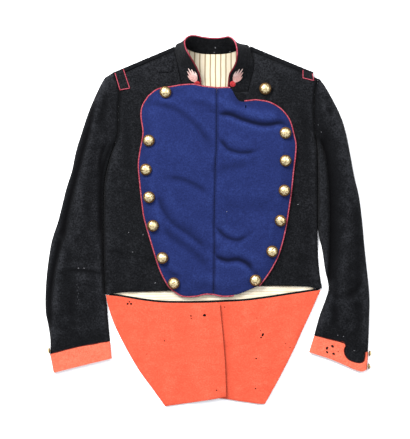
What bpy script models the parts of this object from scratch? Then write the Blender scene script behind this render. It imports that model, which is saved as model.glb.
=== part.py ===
"""A firefighter's dress coat laid flat on its back, front side up.

Lengths in the tables are millimetres: x to the right of the picture plane,
y towards the collar, z up from the surface that the coat lies on. The
wearer's right is on -x. Each cloth piece is a closed wall as thick as its
cloth, cut to a plan outline and laid on a surface function, so that the
pieces on a panel follow the panel.
"""
from collections import namedtuple
from math import ceil, cos, pi, radians, sin

import bmesh
import bpy
import numpy as np
from mathutils import Matrix, Vector
from mathutils.bvhtree import BVHTree
from mathutils.geometry import delaunay_2d_cdt

MM = 0.001

# Cloth thicknesses
WOOL = 2.0               # coat cloth of the back, sleeves and tails
FRONT_WALL = 2.4         # fronts: wool on their interlining
PLASTRON_WALL = 2.2      # plastron: face cloth on a light lining
LINING = 1.0             # striped cotton ticking
RED_CLOTH = 1.2          # red facing cloth of the tails and cuffs
COLLAR_WALL = 3.0        # collar: two cloths on stiff canvas
TRIM_WALL = 1.2          # shoulder loops, neck patch and badges
SEAM_GAP = 0.3           # between neighbouring pieces
LAYER_GAP = 0.8          # between a curved panel and what lies on it

# How high the coat lies
FRONT_FLAT = 7.2         # top of the fronts near their hems
CHEST_RISE = 3.0         # extra height in the middle of the chest
NECK_RISE = 2.5          # extra height at the foot of the collar
SEAM_HEIGHT = 9.6        # top of the cloth along armhole and shoulder seams
PLASTRON_LOFT = 4.2      # how much the plastron bellies away from its edges
SLEEVE_HEIGHT = 11.5     # top of a sleeve between its folds
CUFF_INSIDE = 5.2        # top of a sleeve pressed flat inside its cuff
CUFF_HEIGHT = 6.8        # top of a cuff
EDGE_ROLL = 9.0          # plan width of the turn at a folded edge
SHOULDER_ROLL = 4.9      # outer radius of the turn at the shoulders
UNDER_INSET = 7.0        # how far the under layers stop inside a rolled edge
CONTACT_ENDS = {"right": -192.0, "left": -64.0}   # y where a sleeve stands on the floor again
TUCK_INSET = 4.6         # how far a sleeve end steps in to enter its cuff
TAIL_LIFT = 4.8          # the right tail climbs this much over the left one
STRIP_WIDTH = 3.4        # waist edge strip

PIPING_RADIUS = 1.4
LOOP_PIPING_RADIUS = 1.0
BUTTON_RADIUS = 11.4     # 22.8 mm coat button
CUFF_BUTTON_RADIUS = 6.0

# Mesh spacing: for folded, plain and flat cloth
FINE = 15.0
PLAIN = 20.0
FLAT = 44.0
SEAM = 16.0              # along seams and edges that two pieces share
HEM = 12.0               # along the edge of the plastron and its piping

# Seams and edges, each a smooth line through its (x, y) points
EDGES = {
    "right_shoulder_fold": ((-64.5, 333.5), (-185.4, 282.6)),
    "left_shoulder_fold": ((79, 334.4), (203, 283.2)),
    "right_shoulder_seam": ((-66, 329.1), (-184.5, 278.4)),
    "left_shoulder_seam": ((84, 327), (212, 274.4)),
    "right_armhole": ((-188, 285), (-174, 259), (-176, 211), (-177, 170), (-183, 147)),
    "left_armhole": ((214, 276), (207, 254), (205, 224), (206, 183), (209, 160)),
    "right_side": ((-183, 147), (-192, 121), (-200, 90), (-203.5, 60), (-204.5, 0),
                   (-204, -68), (-201.5, -144)),
    "left_side": ((209, 160), (211, 129), (212, 60), (212, 0), (212.5, -40), (214, -80),
                  (217.5, -112), (221.3, -133)),
    "right_hem": ((-201.5, -144), (-186, -143.5), (-160, -140.5), (-134, -140), (-69, -138),
                  (-2, -138)),
    "left_hem": ((2, -138), (98, -129), (186, -129.5), (206, -133), (221.3, -133)),
    "right_centre": ((-2, -138), (-3, 120), (-10, 190), (-40, 244)),
    "left_centre": ((2, -138), (3, 120), (18, 190), (34, 222), (46, 248.3)),
    "right_neck": ((-51.3, 245), (-53, 258), (-55.2, 273), (-58.6, 289), (-61.8, 305),
                   (-64.4, 319), (-66, 329.1)),
    "left_neck": ((77, 249), (79.2, 259), (82.3, 272), (85.8, 284), (88.8, 297),
                  (88.3, 309.5), (84.7, 321), (84, 327)),
    "back_neck": ((-64.5, 333.5), (-58, 334.4), (-49, 333.6), (-38, 329.8), (-24, 326.3), (-8, 324.3),
                  (9, 323.8), (26, 324.3), (42, 326.3), (57, 330.5), (66, 334), (73, 335.2),
                  (79, 334.4)),
    "right_sleeve_head": ((-189, 286), (-202, 278)),
    "left_sleeve_head": ((214.6, 276.6), (218, 273)),
    "right_sleeve_back": ((-202, 278), (-213, 259), (-232, 216), (-248, 169), (-259, 133),
                          (-267, 95), (-278, 60), (-293, 0), (-306, -41), (-314, -90),
                          (-318, -137), (-318, -178), (-313, -205), (-309, -232), (-309, -261)),
    "left_sleeve_back": ((218, 273), (231, 254), (254, 210), (266.5, 174), (276, 128),
                         (283.5, 87), (293, 46), (299, 0), (304, -55), (313, -142), (313, -191),
                         (311.5, -235), (310.5, -257)),
    "right_sleeve_front": ((-184.4, 145), (-193.3, 121), (-201.3, 90), (-204.8, 60),
                           (-205.8, 0), (-205.3, -68), (-203.2, -130), (-200.6, -150),
                           (-197.8, -172), (-196, -195), (-192, -236)),
    "left_sleeve_front": ((210.4, 157.5), (212.4, 129), (213.4, 60), (213.4, 0), (214.4, -30),
                          (221, -58), (227, -98), (233.6, -130), (228.5, -153), (216, -187),
                          (205.5, -225)),
    "right_cuff_top": ((-309, -261), (-254, -247), (-192, -236)),
    "right_cuff_mouth": ((-302, -297.5), (-251, -284.5), (-189, -269.5)),
    "left_cuff_top": ((310.5, -257), (257, -238), (205.5, -225)),
    "left_cuff_mouth": ((308.5, -290.5), (298, -295), (281, -290), (265, -282.5), (232, -269),
                        (195.5, -257.5)),
    "waist": ((-201, -142.5), (-173, -145.5), (-135, -152), (-94, -157), (-53, -158),
              (-7, -157.5), (31, -156), (69, -154), (110, -149), (156, -142), (219, -132.5)),
    "plastron_top_right": ((15.7, 255.5), (-10, 258.5), (-29, 262), (-52, 261), (-70, 258),
                           (-98, 253), (-116, 240)),
    "plastron_side_right": ((-116, 240), (-127, 222), (-130, 202), (-126, 169), (-132, 133),
                            (-135, 106), (-132, 68), (-127, 24), (-123, 0), (-104, -65),
                            (-93, -98), (-79, -125), (-68, -137)),
    "plastron_bottom_right": ((-68, -137), (-50, -147), (-26, -147), (-7, -143), (9.7, -143.5)),
    "plastron_top_left": ((16, 255.5), (38, 256), (45, 253), (52, 240), (60, 231), (72, 230),
                          (91, 232)),
    "plastron_side_left": ((91, 232), (116, 228), (138, 216), (153, 199), (160, 183),
                           (164, 166), (168, 148), (167, 125), (164, 101), (159, 54),
                           (151, 0), (144, -36), (133, -71), (117, -101), (97, -128)),
    "plastron_bottom_left": ((97, -128), (64, -142), (47, -146), (28, -147), (10, -143.5)),
    "plastron_centre": ((15.7, 255.5), (15.6, 156), (13, 101), (11, 0), (11, -64),
                        (9.7, -143.5)),
    "tail_right_edge": ((-200, -146), (-197, -163), (-185.5, -199), (-166, -240), (-138, -289),
                        (-108.5, -330), (-84.5, -363)),
    "tail_right_bottom": ((-84.5, -363), (-36, -356), (11, -348.5), (34, -344)),
    "tail_overlap": ((34, -344), (32, -286), (28, -232), (24, -191), (21, -160)),
    "tail_left_edge": ((218, -136), (201.5, -174), (183.5, -213), (164, -256),
                       (136, -311), (109.5, -358.5)),
    "tail_left_bottom": ((109.5, -358.5), (96, -358), (60, -353), (35, -349), (11, -347)),
    "tail_left_hidden": ((11, -347), (6, -250), (2, -160)),
}

Fold = namedtuple("Fold", "panel height width path")
# The largest folds: a ridge has a height above 0, a trough has one below 0
FOLDS = (
    Fold("plastron", -5.0, 8, ((14, 208), (51, 200), (95, 187), (124, 185), (152, 189))),
    Fold("plastron", 2.6, 12, ((20, 222), (58, 214), (100, 202), (135, 201))),
    Fold("plastron", -2.8, 9, ((22, 153), (37, 134), (66, 130), (95, 134))),
    Fold("plastron", 2.2, 13, ((30, 168), (60, 152), (100, 152))),
    Fold("plastron", -1.8, 10, ((-72, 86), (-22, 74), (7, 62))),
    Fold("plastron", -2.0, 10, ((-98, 39), (-80, 4), (-48, -20), (-7, -49))),
    Fold("plastron", 1.8, 13, ((-80, 44), (-58, 12), (-20, -12))),
    Fold("plastron", -1.8, 9, ((13, -11), (31, -31), (66, -43))),
    Fold("plastron", -4.4, 8, ((10, -66), (37, -79), (60, -81), (81, -93), (92, -106))),
    Fold("plastron", 2.4, 12, ((16, -50), (48, -60), (78, -72), (100, -90))),
    Fold("plastron", -2.4, 10, ((-112, 228), (-66, 206), (-31, 185), (-1, 150))),
    Fold("plastron", 2.0, 14, ((-96, 242), (-50, 220), (-10, 192))),
    Fold("right_sleeve", 4.0, 15, ((-214, 245), (-230, 183), (-236, 129), (-243, 47),
                                   (-251, -45))),
    Fold("right_sleeve", -4.0, 11, ((-232, 205), (-252, 101), (-260, 0), (-272, -60))),
    Fold("right_sleeve", -3.6, 9, ((-290, -20), (-299, -96), (-303, -168))),
    Fold("right_sleeve", 2.6, 12, ((-276, -40), (-284, -105), (-286, -180))),
    Fold("right_sleeve", -3.4, 9, ((-203, 160), (-214, 125), (-222, 66), (-223, 0))),
    Fold("right_sleeve", -2.6, 10, ((-284, -96), (-245, -104), (-216, -106))),
    Fold("right_sleeve", 3.0, 14, ((-226, -60), (-236, -130), (-238, -195))),
    Fold("left_sleeve", 2.2, 9, ((216, 226), (220, 193), (224, 156), (227, 100), (224, 20))),
    Fold("left_sleeve", -4.2, 9, ((233, 150), (240, 66), (246, 4), (244, -100))),
    Fold("left_sleeve", 4.0, 14, ((246, 200), (256, 117), (268, 41), (270, -37))),
    Fold("left_sleeve", -3.0, 11, ((264, 140), (278, 60), (286, 0), (292, -70))),
    Fold("left_sleeve", -2.8, 11, ((300, -112), (285, -140), (262, -150))),
    Fold("left_sleeve", 2.6, 13, ((258, -85), (266, -150), (270, -200))),
)

Station = namedtuple("Station", "foot_x foot_y foot_z edge_x edge_y edge_z")
# The stand collar from its right front end, round the back, to its left end
COLLAR = (
    Station(-50, 245.3, 6.0, -13, 247, 6.0),
    Station(-52, 258, 6.6, -16, 260, 7.6),
    Station(-54, 273, 8.2, -17.5, 275, 12.0),
    Station(-57, 289, 9.6, -23, 291.5, 23.0),
    Station(-60, 305, 10.4, -31, 306, 32.0),
    Station(-62.5, 319, 11.0, -38.5, 318.5, 39.0),
    Station(-64.5, 331, 11.4, -44.5, 329.5, 44.0),
    Station(-61, 341.5, 10.6, -47, 341.5, 46.0),
    Station(-50.5, 340, 7.6, -44.5, 349, 42.0),
    Station(-38, 332.5, 4.6, -36.5, 354.5, 36.0),
    Station(-24, 327, 3.2, -25, 355.3, 30.0),
    Station(-8, 324.8, 2.6, -11.5, 352.7, 27.0),
    Station(9, 324.2, 2.4, 9, 350.7, 25.0),
    Station(26, 324.8, 2.6, 26, 351.7, 26.0),
    Station(42, 327, 3.2, 38, 353.5, 29.0),
    Station(57, 332.5, 4.6, 46, 349.5, 35.0),
    Station(67.5, 339.5, 7.6, 51.5, 342, 42.0),
    Station(76.5, 338, 10.6, 54.5, 331.5, 46.0),
    Station(81.5, 325, 11.4, 55.5, 318.5, 44.0),
    Station(86, 309.5, 11.0, 54, 306, 40.0),
    Station(87, 297, 10.4, 49, 294, 33.0),
    Station(84, 284, 9.6, 42.5, 284.5, 23.0),
    Station(81, 272, 8.2, 40.3, 273.5, 12.0),
    Station(78, 259, 6.3, 39.2, 261, 7.2),
    Station(76, 247.3, 5.3, 38.3, 248, 5.3),
)
COLLAR_ROWS = 4
COLLAR_SPACING = 14.0    # of foot and edge together

Button = namedtuple("Button", "name x y tilt_x tilt_y")
# Plastron buttons from top to bottom on each side; tilts in degrees
BUTTONS = (
    Button("right_button_1", -84, 248, 0, 0),
    Button("right_button_2", -116, 154, 0, -4),
    Button("right_button_3", -122, 98, 4, 0),
    Button("right_button_4", -116, 44, 0, 5),
    Button("right_button_5", -109, -11, 6, 12),
    Button("right_button_6", -90, -74, -4, 0),
    Button("right_button_7", -68, -123, 0, 4),
    Button("left_button_1", 110, 255, 0, 0),
    Button("left_button_2", 149, 169, 3, 0),
    Button("left_button_3", 149, 115, 0, 4),
    Button("left_button_4", 147, 57, -3, 0),
    Button("left_button_5", 140, -1, 8, -14),
    Button("left_button_6", 123, -61, 0, 4),
    Button("left_button_7", 91, -117, 4, 0),
)
# Cuff buttons stand on edge outside the back of each cuff, facing away from it
CUFF_BUTTONS = (
    Button("right_cuff_button", -308.6, -254, 0, -72),
    Button("left_cuff_button_1", 311.6, -259.5, 0, 72),
    Button("left_cuff_button_2", 310.0, -285, 0, 72),
)

# A button's turned profile, in parts of its radius: out from the axis, and up
BUTTON_PROFILE = ((0.22, 0.0), (0.22, 0.22), (0.97, 0.28), (1.0, 0.38), (0.72, 0.64),
                  (0.38, 0.81), (0.0, 0.87))
BUTTON_SIDES = 12

Hole = namedtuple("Hole", "x y radius")
# Moth holes over 4 mm in the red cloth
TAIL_HOLES = {
    "right": (Hole(-8, -185.5, 2.9), Hole(-157.5, -163.2, 2.1), Hole(-151.5, -163.2, 2.1)),
    "left": (Hole(105, -224, 2.4),),
}
CUFF_HOLES = (Hole(230.5, -249.5, 2.3), Hole(241, -246, 2.4), Hole(230.5, -257.5, 2.1),
              Hole(243, -260.5, 2.3))
CUFF_BITE = ((259, -236), (263.5, -239), (266.5, -245), (264, -250), (263.3, -255), (265, -262),
             (269.7, -269.5), (275, -273.5), (285, -277), (294.5, -278.5), (301.5, -275.5),
             (303.8, -268.6), (305, -258), (325, -256), (325, -226), (262, -222))

Badge = namedtuple("Badge", "side x y heading flat_below")
# Collar badges: the ball's centre, which way the flame points in degrees
BADGES = (
    Badge("right", -22.5, 264.5, 120, 264.6),
    Badge("left", 46.5, 264.5, 55, 0),
)
BALL_RADIUS = 5.6
Tongue = namedtuple("Tongue", "across tip notch")
# The flame's tongues from one side to the other, along its heading from the ball
FLAME = (Tongue(-7.6, 23.5, 19.0), Tongue(-4.6, 30.5, 24.0), Tongue(-0.2, 34.5, 24.5),
         Tongue(4.0, 30.0, 20.0), Tongue(7.4, 23.0, 16.0))
FLAME_ROOT = 3.0         # half width where the flame leaves the ball
FLAME_START = 6.2        # distance of the root from the ball's centre

# Small cloth pieces by the shoulders
LOOPS = {
    "right": ((-181, 286), (-167, 292.5), (-155, 257), (-171.5, 254)),
    "left": ((184.5, 291.5), (200.5, 284.5), (203, 272.5), (184.5, 277)),
}
NECK_PATCH = ((-103, 312), (-103, 292), (-99, 287.5), (-94, 286.5), (-75, 288), (-70.5, 292),
              (-69.5, 313))

Finish = namedtuple("Finish", "red green blue roughness metallic")
FINISHES = {
    "wool": Finish(0.018, 0.018, 0.021, 0.92, 0.0),
    "blue_cloth": Finish(0.024, 0.035, 0.17, 0.88, 0.0),
    "red_cloth": Finish(0.85, 0.13, 0.075, 0.9, 0.0),
    "piping": Finish(0.6, 0.03, 0.05, 0.85, 0.0),
    "ticking": Finish(0.82, 0.75, 0.58, 0.9, 0.0),
    "gilt": Finish(0.72, 0.56, 0.3, 0.35, 1.0),
    "flame": Finish(0.85, 0.35, 0.32, 0.9, 0.0),
}


# ---------------------------------------------------------------- plan lines

def smooth(points, spacing):
    """A Catmull-Rom line through the points, read about every `spacing` mm."""
    p = np.array(points, float)
    if len(p) > 2:
        ends = np.vstack([2 * p[0] - p[1], p, 2 * p[-1] - p[-2]])
        line = [b + 0.5 * t * (c - a + t * (2 * a - 5 * b + 4 * c - d + t * (3 * (b - c) + d - a)))
                for a, b, c, d in zip(ends, ends[1:], ends[2:], ends[3:])
                for t in np.arange(0, 1, 0.08)]
        p = np.array(line + [p[-1]])
    along = np.concatenate([[0], np.cumsum(np.linalg.norm(np.diff(p, axis=0), axis=1))])
    at = np.linspace(0, along[-1], max(1, ceil(along[-1] / spacing)) + 1)
    return np.column_stack([np.interp(at, along, p[:, k]) for k in range(p.shape[1])])


def edge(name, spacing):
    """A named edge as a line of plan points."""
    return smooth(EDGES[name], spacing)


def beside(line, by):
    """A line moved to its left, seen along its own direction."""
    way = np.diff(line, axis=0)
    way /= np.linalg.norm(way, axis=1)[:, None]
    before, after = np.vstack([way[:1], way]), np.vstack([way, way[-1:]])
    both = before + after
    both /= np.linalg.norm(both, axis=1)[:, None]
    reach = by / np.clip(np.sum(both * after, axis=1), 0.6, 1)
    return line + reach[:, None] * np.column_stack([-both[:, 1], both[:, 0]])


def gap_between(a, b):
    """Distance between two plan points."""
    return float(np.hypot(a[0] - b[0], a[1] - b[1]))


def ring(*lines):
    """Joins lines end to end into one anticlockwise ring of plan points."""
    first, second = lines[0], lines[1]
    if min(gap_between(first[0], p) for p in (second[0], second[-1])) < min(
            gap_between(first[-1], p) for p in (second[0], second[-1])):
        first = first[::-1]
    points = [tuple(p) for p in first]
    for line in lines[1:]:
        if gap_between(points[-1], line[-1]) < gap_between(points[-1], line[0]):
            line = line[::-1]
        skip = 1 if gap_between(points[-1], line[0]) < 0.6 else 0
        points += [tuple(p) for p in line[skip:]]
    if gap_between(points[0], points[-1]) < 0.6:
        points.pop()
    p = np.array(points)
    q = np.roll(p, -1, axis=0)
    turning = np.sum(p[:, 0] * q[:, 1] - q[:, 0] * p[:, 1])
    return points if turning > 0 else points[::-1]


def distance(x, y, line):
    """Plan distance from each (x, y) to a line of points."""
    best = np.full(np.shape(x), 1e9)
    for (ax, ay), (bx, by) in zip(line[:-1], line[1:]):
        dx, dy = bx - ax, by - ay
        t = np.clip(((x - ax) * dx + (y - ay) * dy) / (dx * dx + dy * dy + 1e-12), 0, 1)
        best = np.minimum(best, np.hypot(x - ax - t * dx, y - ay - t * dy))
    return best


def nearest(x, y, names):
    """Plan distance to the nearest of several named edges."""
    return np.min([distance(x, y, LINES[name]) for name in names], axis=0)


def inside(x, y, outline):
    """True where (x, y) is inside the closed outline."""
    hit = np.zeros(np.shape(x), bool)
    for (ax, ay), (bx, by) in zip(outline, outline[1:] + outline[:1]):
        crosses = (ay > y) != (by > y)
        hit ^= crosses & (x < (bx - ax) * (y - ay) / (by - ay + 1e-12) + ax)
    return hit


LINES = {name: edge(name, 6.0) for name in EDGES}
FOLD_LINES = [(fold, smooth(fold.path, 6.0)) for fold in FOLDS]
CUFF_AREAS = {side: ring(LINES[side + "_cuff_top"], LINES[side + "_cuff_mouth"])
              for side in ("right", "left")}
PLASTRON_OUTLINE = ring(*[LINES["plastron_" + part] for part in (
    "top_right", "side_right", "bottom_right", "bottom_left", "side_left", "top_left")])
PLASTRON_EDGES = ["plastron_" + part for part in (
    "top_right", "side_right", "bottom_right", "bottom_left", "side_left", "top_left")]


# ---------------------------------------------------------------- surfaces

def ease(t):
    """0 below 0, 1 above 1, and a smooth rise between."""
    t = np.clip(t, 0, 1)
    return t * t * (3 - 2 * t)


def turn(away, width):
    """Height share of a folded edge, `away` mm in from its outermost line."""
    t = 1 - np.clip(away / width, 0, 1)
    return np.sqrt(np.clip(1 - t * t, 0, 1))


def folds(x, y, panel):
    """Height that a panel's ridges and troughs add, fading at their ends."""
    total = np.zeros(np.shape(x))
    for fold, line in FOLD_LINES:
        if fold.panel == panel:
            across = distance(x, y, line) / fold.width
            ends = np.minimum(np.hypot(x - line[0][0], y - line[0][1]),
                              np.hypot(x - line[-1][0], y - line[-1][1]))
            total += fold.height * np.exp(-across ** 2) * (0.35 + 0.65 * ease(ends / 30))
    return total


def torso(x, y):
    """Top of the fronts, read on under the plastron and across the neck too."""
    chest = CHEST_RISE * np.exp(-((x - 10) / 150) ** 2 - ((y - 90) / 130) ** 2)
    neck = NECK_RISE * (np.exp(-((x + 72) / 30) ** 2 - ((y - 296) / 30) ** 2)
                        + np.exp(-((x - 97) / 30) ** 2 - ((y - 296) / 30) ** 2))
    high = FRONT_FLAT + (SEAM_HEIGHT - FRONT_FLAT) * ease((y + 90) / 220) + chest + neck
    seam = nearest(x, y, ("right_armhole", "left_armhole"))
    return SEAM_HEIGHT + (high - SEAM_HEIGHT) * ease(seam / 40)


def rolled_down(high, x, y, names):
    """A height that turns down along rolled edges: to the floor, or onto the back if it
    reaches under them, which it does where a sleeve lies against the side."""
    on_back = np.max([ease((y - low) / 22) * (distance(x, y, LINES[side + "_side"]) < 14)
                      for side, low in CONTACT_ENDS.items()], axis=0)
    foot = (WOOL + SEAM_GAP) * on_back
    return foot + (high - foot) * turn(nearest(x, y, names), EDGE_ROLL)


def front_top(x, y):
    """Top of a front, turned down along its side."""
    return rolled_down(torso(x, y), x, y, ("right_side", "left_side"))


def shoulder_top(x, y):
    """Top of the cloth by the shoulders, down over the turned edge of the back."""
    share = np.ones(np.shape(x))
    for side, name in ((-1, "right_shoulder_fold"), (1, "left_shoulder_fold")):
        away = SHOULDER_ROLL - past_line(x, y, name)
        share = np.where(side * x > 60, turn(away, SHOULDER_ROLL), share)
    return torso(x, y) * (0.5 + 0.5 * share)


def past_line(x, y, name):
    """How far (x, y) lies outside a shoulder's fold line."""
    (ax, ay), (bx, by) = EDGES[name]
    side = -1 if name.startswith("right") else 1
    out = np.array((side * (ay - by), side * (bx - ax)), float)
    out /= np.linalg.norm(out)
    return (x - ax) * out[0] + (y - ay) * out[1]


def plastron_under(x, y):
    """Underside of the plastron: on the fronts at its edges, bellied between."""
    loft = PLASTRON_LOFT * ease(nearest(x, y, PLASTRON_EDGES) / 30)
    loft = loft + folds(x, y, "plastron")
    return torso(x, y) + LAYER_GAP + 0.5 * (loft + np.sqrt(loft ** 2 + 1.4))


def plastron_top(x, y):
    return plastron_under(x, y) + PLASTRON_WALL


def sleeve_top(side):
    """Top of one sleeve: full between its folds, pressed flat in the cuff."""
    rolled = [side + "_sleeve_" + part for part in ("back", "front", "head")]

    def top(x, y):
        seam = distance(x, y, LINES[side + "_armhole"])
        fold = folds(x, y, side + "_sleeve") * ease(seam / 26)
        high = SEAM_HEIGHT + (SLEEVE_HEIGHT - SEAM_HEIGHT) * ease(seam / 40) + fold
        mouth = ease(distance(x, y, LINES[side + "_cuff_top"]) / 55)
        mouth = np.where(inside(x, y, CUFF_AREAS[side]), 0, mouth)
        high = CUFF_INSIDE + (high - CUFF_INSIDE) * mouth
        return rolled_down(high, x, y, rolled)
    return top


def tail_lift(x, y):
    """How much the right tail climbs where it lies over the left one."""
    hidden = np.interp(y, (-346, -250, -164), (11, 6, 2))
    return TAIL_LIFT * ease((x - hidden + 36) / 24)


def level(height):
    """A flat surface at one height."""
    return lambda x, y: np.full(np.shape(x), float(height))


# ---------------------------------------------------------------- meshes

def finish(name):
    """The material of one cloth or metal."""
    material = bpy.data.materials.get(name)
    if material is None:
        material = bpy.data.materials.new(name)
        material.use_nodes = True
        shader = material.node_tree.nodes["Principled BSDF"]
        look = FINISHES[name]
        shader.inputs["Base Color"].default_value = (look.red, look.green, look.blue, 1)
        shader.inputs["Roughness"].default_value = look.roughness
        shader.inputs["Metallic"].default_value = look.metallic
        material.diffuse_color = (look.red, look.green, look.blue, 1)
    return material


def add(name, bm, look):
    """Puts a mesh built in millimetres into the scene, in metres."""
    bmesh.ops.scale(bm, vec=(MM, MM, MM), verts=bm.verts)
    bmesh.ops.recalc_face_normals(bm, faces=bm.faces)
    mesh = bpy.data.meshes.new(name)
    bm.to_mesh(mesh)
    bm.free()
    mesh.shade_smooth()
    mesh.set_sharp_from_angle(angle=radians(50))
    thing = bpy.data.objects.new(name, mesh)
    bpy.context.scene.collection.objects.link(thing)
    mesh.materials.append(finish(look))
    return thing


def thinned(points, room, kept):
    """The points that stay `room` mm clear of those kept before them."""
    for point in points:
        if not kept or np.min(np.hypot(*(np.array(kept) - point).T)) > room:
            kept.append(tuple(point))
    return kept


def cut_out(outline, spacing, seeds, holes):
    """Triangles of a plan outline with its holes left open: (points, faces)."""
    loops = [outline] + [[(h.x + h.radius * cos(a), h.y + h.radius * sin(a))
                          for a in (k * pi / 4 for k in range(8))] for h in holes]
    rim = [p for loop in loops for p in loop]
    low, high = np.min(rim, axis=0), np.max(rim, axis=0)
    rows = np.arange(low[1] + spacing / 2, high[1], spacing * sin(pi / 3))
    grid = [(x + (k % 2) * spacing / 2, y) for k, y in enumerate(rows)
            for x in np.arange(low[0], high[0], spacing)]
    kept = []
    for group, room, apart in ((seeds, 0.9, 2.6), (grid, 0.6 * spacing, 0.6 * spacing)):
        if len(group):
            g = np.array(group)
            good = inside(g[:, 0], g[:, 1], outline)
            for loop in loops:
                good &= distance(g[:, 0], g[:, 1], loop + loop[:1]) > room
            for loop in loops[1:]:
                good &= ~inside(g[:, 0], g[:, 1], loop)
            kept = thinned(g[good], apart, kept)
    lines, start = [], 0
    for loop in loops:
        lines += [(start + k, start + (k + 1) % len(loop)) for k in range(len(loop))]
        start += len(loop)
    out, _, faces, *_ = delaunay_2d_cdt([Vector(p) for p in rim + kept], lines, [], 0, 1e-5)
    flat = np.array([tuple(v) for v in out])
    corners = np.array([flat[list(f)] for f in faces])
    centres = corners.mean(axis=1)
    one, two = corners[:, 1] - corners[:, 0], corners[:, 2] - corners[:, 0]
    slim = np.abs(one[:, 0] * two[:, 1] - one[:, 1] * two[:, 0]) < 0.02
    good = inside(centres[:, 0], centres[:, 1], outline) & ~slim
    for loop in loops[1:]:
        good &= ~inside(centres[:, 0], centres[:, 1], loop)
    return flat, [tuple(f) for f, keep in zip(faces, good) if keep]


def rim_of(faces):
    """The directed edges that only one face has, as {start: end}."""
    edges = {(a, b) for face in faces for a, b in zip(face, face[1:] + face[:1])}
    return {a: b for a, b in edges if (b, a) not in edges}


def cloth(name, outline, top, wall, look, spacing=PLAIN, rolled=(), seeds=(), holes=(), bend=None):
    """One cut piece: a wall under the surface `top`, turned to the floor on `rolled` edges."""
    rows = [p for edge_name in rolled for inset in (1.3, 4.2, 8.6) for side in (1, -1)
            for p in beside(edge(edge_name, spacing), side * inset)[1:-1]]
    flat, faces = cut_out(outline, spacing, rows + list(seeds), holes)
    x, y = flat[:, 0], flat[:, 1]
    over = np.column_stack([x, y, top(x, y)])
    step = 0.4
    normal = np.column_stack([top(x - step, y) - top(x + step, y),
                              top(x, y - step) - top(x, y + step),
                              np.full(len(x), 2 * step)])
    normal /= np.linalg.norm(normal, axis=1)[:, None]
    if wall <= TRIM_WALL:
        normal[:] = (0, 0, 1)
    under = over - wall * normal
    ahead = rim_of(faces)
    behind = {b: a for a, b in ahead.items()}
    for k in ahead:
        if rolled and nearest(x[k], y[k], rolled) < 0.3:
            along = flat[ahead[k]] - flat[behind[k]]
            along /= np.linalg.norm(along)
            alone = max(nearest(x[j], y[j], rolled) for j in (ahead[k], behind[k])) > 0.3
            inward = 0.5 * wall if alone else wall
            foot = float(rolled_down(0.0, x[k:k + 1], y[k:k + 1], rolled)[0])
            over[k, 2] = foot
            under[k] = (x[k] - inward * along[1], y[k] + inward * along[0], foot)
        else:
            under[k] = over[k] - (0, 0, wall)
    if bend is not None:
        over, under = bend(over), bend(under)
    bm = bmesh.new()
    used = sorted({k for face in faces for k in face})
    tops = {k: bm.verts.new(over[k]) for k in used}
    lows = {k: bm.verts.new(under[k]) for k in used}
    for a, b, c in faces:
        bm.faces.new((tops[a], tops[b], tops[c]))
        bm.faces.new((lows[c], lows[b], lows[a]))
    for a, b in ahead.items():
        bm.faces.new((tops[b], tops[a], lows[a], lows[b]))
    return add(name, bm, look)


def fold_seeds(panel, spacing):
    """Mesh points on each fold of a panel and along both its flanks."""
    return [p for fold in FOLDS if fold.panel == panel
            for by in (0, fold.width, -fold.width)
            for p in beside(smooth(fold.path, spacing), by)]


def cord(name, path, radius, look, sides=6):
    """A round cord along (x, y, z) points, closed at both ends."""
    p = np.array(path, float)
    way = np.gradient(p, axis=0)
    way /= np.linalg.norm(way, axis=1)[:, None]
    bm = bmesh.new()
    rings = []
    for at, forward in zip(p, way):
        across = np.cross(forward, (0, 0, 1))
        across /= np.linalg.norm(across)
        rise = np.cross(across, forward)
        rings.append([bm.verts.new(at + radius * (cos(a) * across + sin(a) * rise))
                      for a in (2 * pi * k / sides for k in range(sides))])
    skin(bm, rings)
    bm.faces.new(rings[0])
    bm.faces.new(rings[-1])
    return add(name, bm, look)


def skin(bm, rings, close=False):
    """Faces between each ring of points and the next."""
    for one, two in zip(rings, rings[1:] + rings[:1] if close else rings[1:]):
        for k in range(len(one)):
            nxt = (k + 1) % len(one)
            bm.faces.new((one[k], one[nxt], two[nxt], two[k]))


def cutter(name, outline, low, high):
    """An upright prism that cuts a hole, kept out of the build."""
    bm = bmesh.new()
    base = bm.faces.new([bm.verts.new((x, y, low)) for x, y in outline])
    made = bmesh.ops.extrude_face_region(bm, geom=[base])
    bmesh.ops.translate(bm, vec=(0, 0, high - low),
                        verts=[v for v in made["geom"] if isinstance(v, bmesh.types.BMVert)])
    thing = add(name, bm, "wool")
    thing.hide_render = True
    thing.display_type = "WIRE"
    return thing


# ---------------------------------------------------------------- body

def turned_back(points):
    """Bends what lies past a shoulder line up and over it, towards the front."""
    radius = SHOULDER_ROLL - WOOL / 2
    out = points.copy()
    for name in ("right_shoulder_fold", "left_shoulder_fold"):
        (ax, ay), (bx, by) = EDGES[name]
        side = -1 if name.startswith("right") else 1
        way = np.array((side * (ay - by), side * (bx - ax)), float)
        way /= np.linalg.norm(way)
        past = (points[:, 0] - ax) * way[0] + (points[:, 1] - ay) * way[1]
        bent = (past > 0) & (side * points[:, 0] > 60)
        angle = np.clip(past / radius, 0, pi)
        arm = SHOULDER_ROLL - points[:, 2]
        shift = arm * np.sin(angle) - (past - angle * radius) - past
        out[bent, 0] += (way[0] * shift)[bent]
        out[bent, 1] += (way[1] * shift)[bent]
        out[bent, 2] = (SHOULDER_ROLL - arm * np.cos(angle))[bent]
    return out


def flap_line(side, past):
    """A line past a shoulder's fold, in the flat cloth before it is turned."""
    a, b = np.array(EDGES[side + "_shoulder_fold"], float)
    sign = -1 if side == "right" else 1
    way = np.array((sign * (a[1] - b[1]), sign * (b[0] - a[0])))
    way *= past / np.linalg.norm(way)
    return smooth((a + way, b + way), 18.0)


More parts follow.
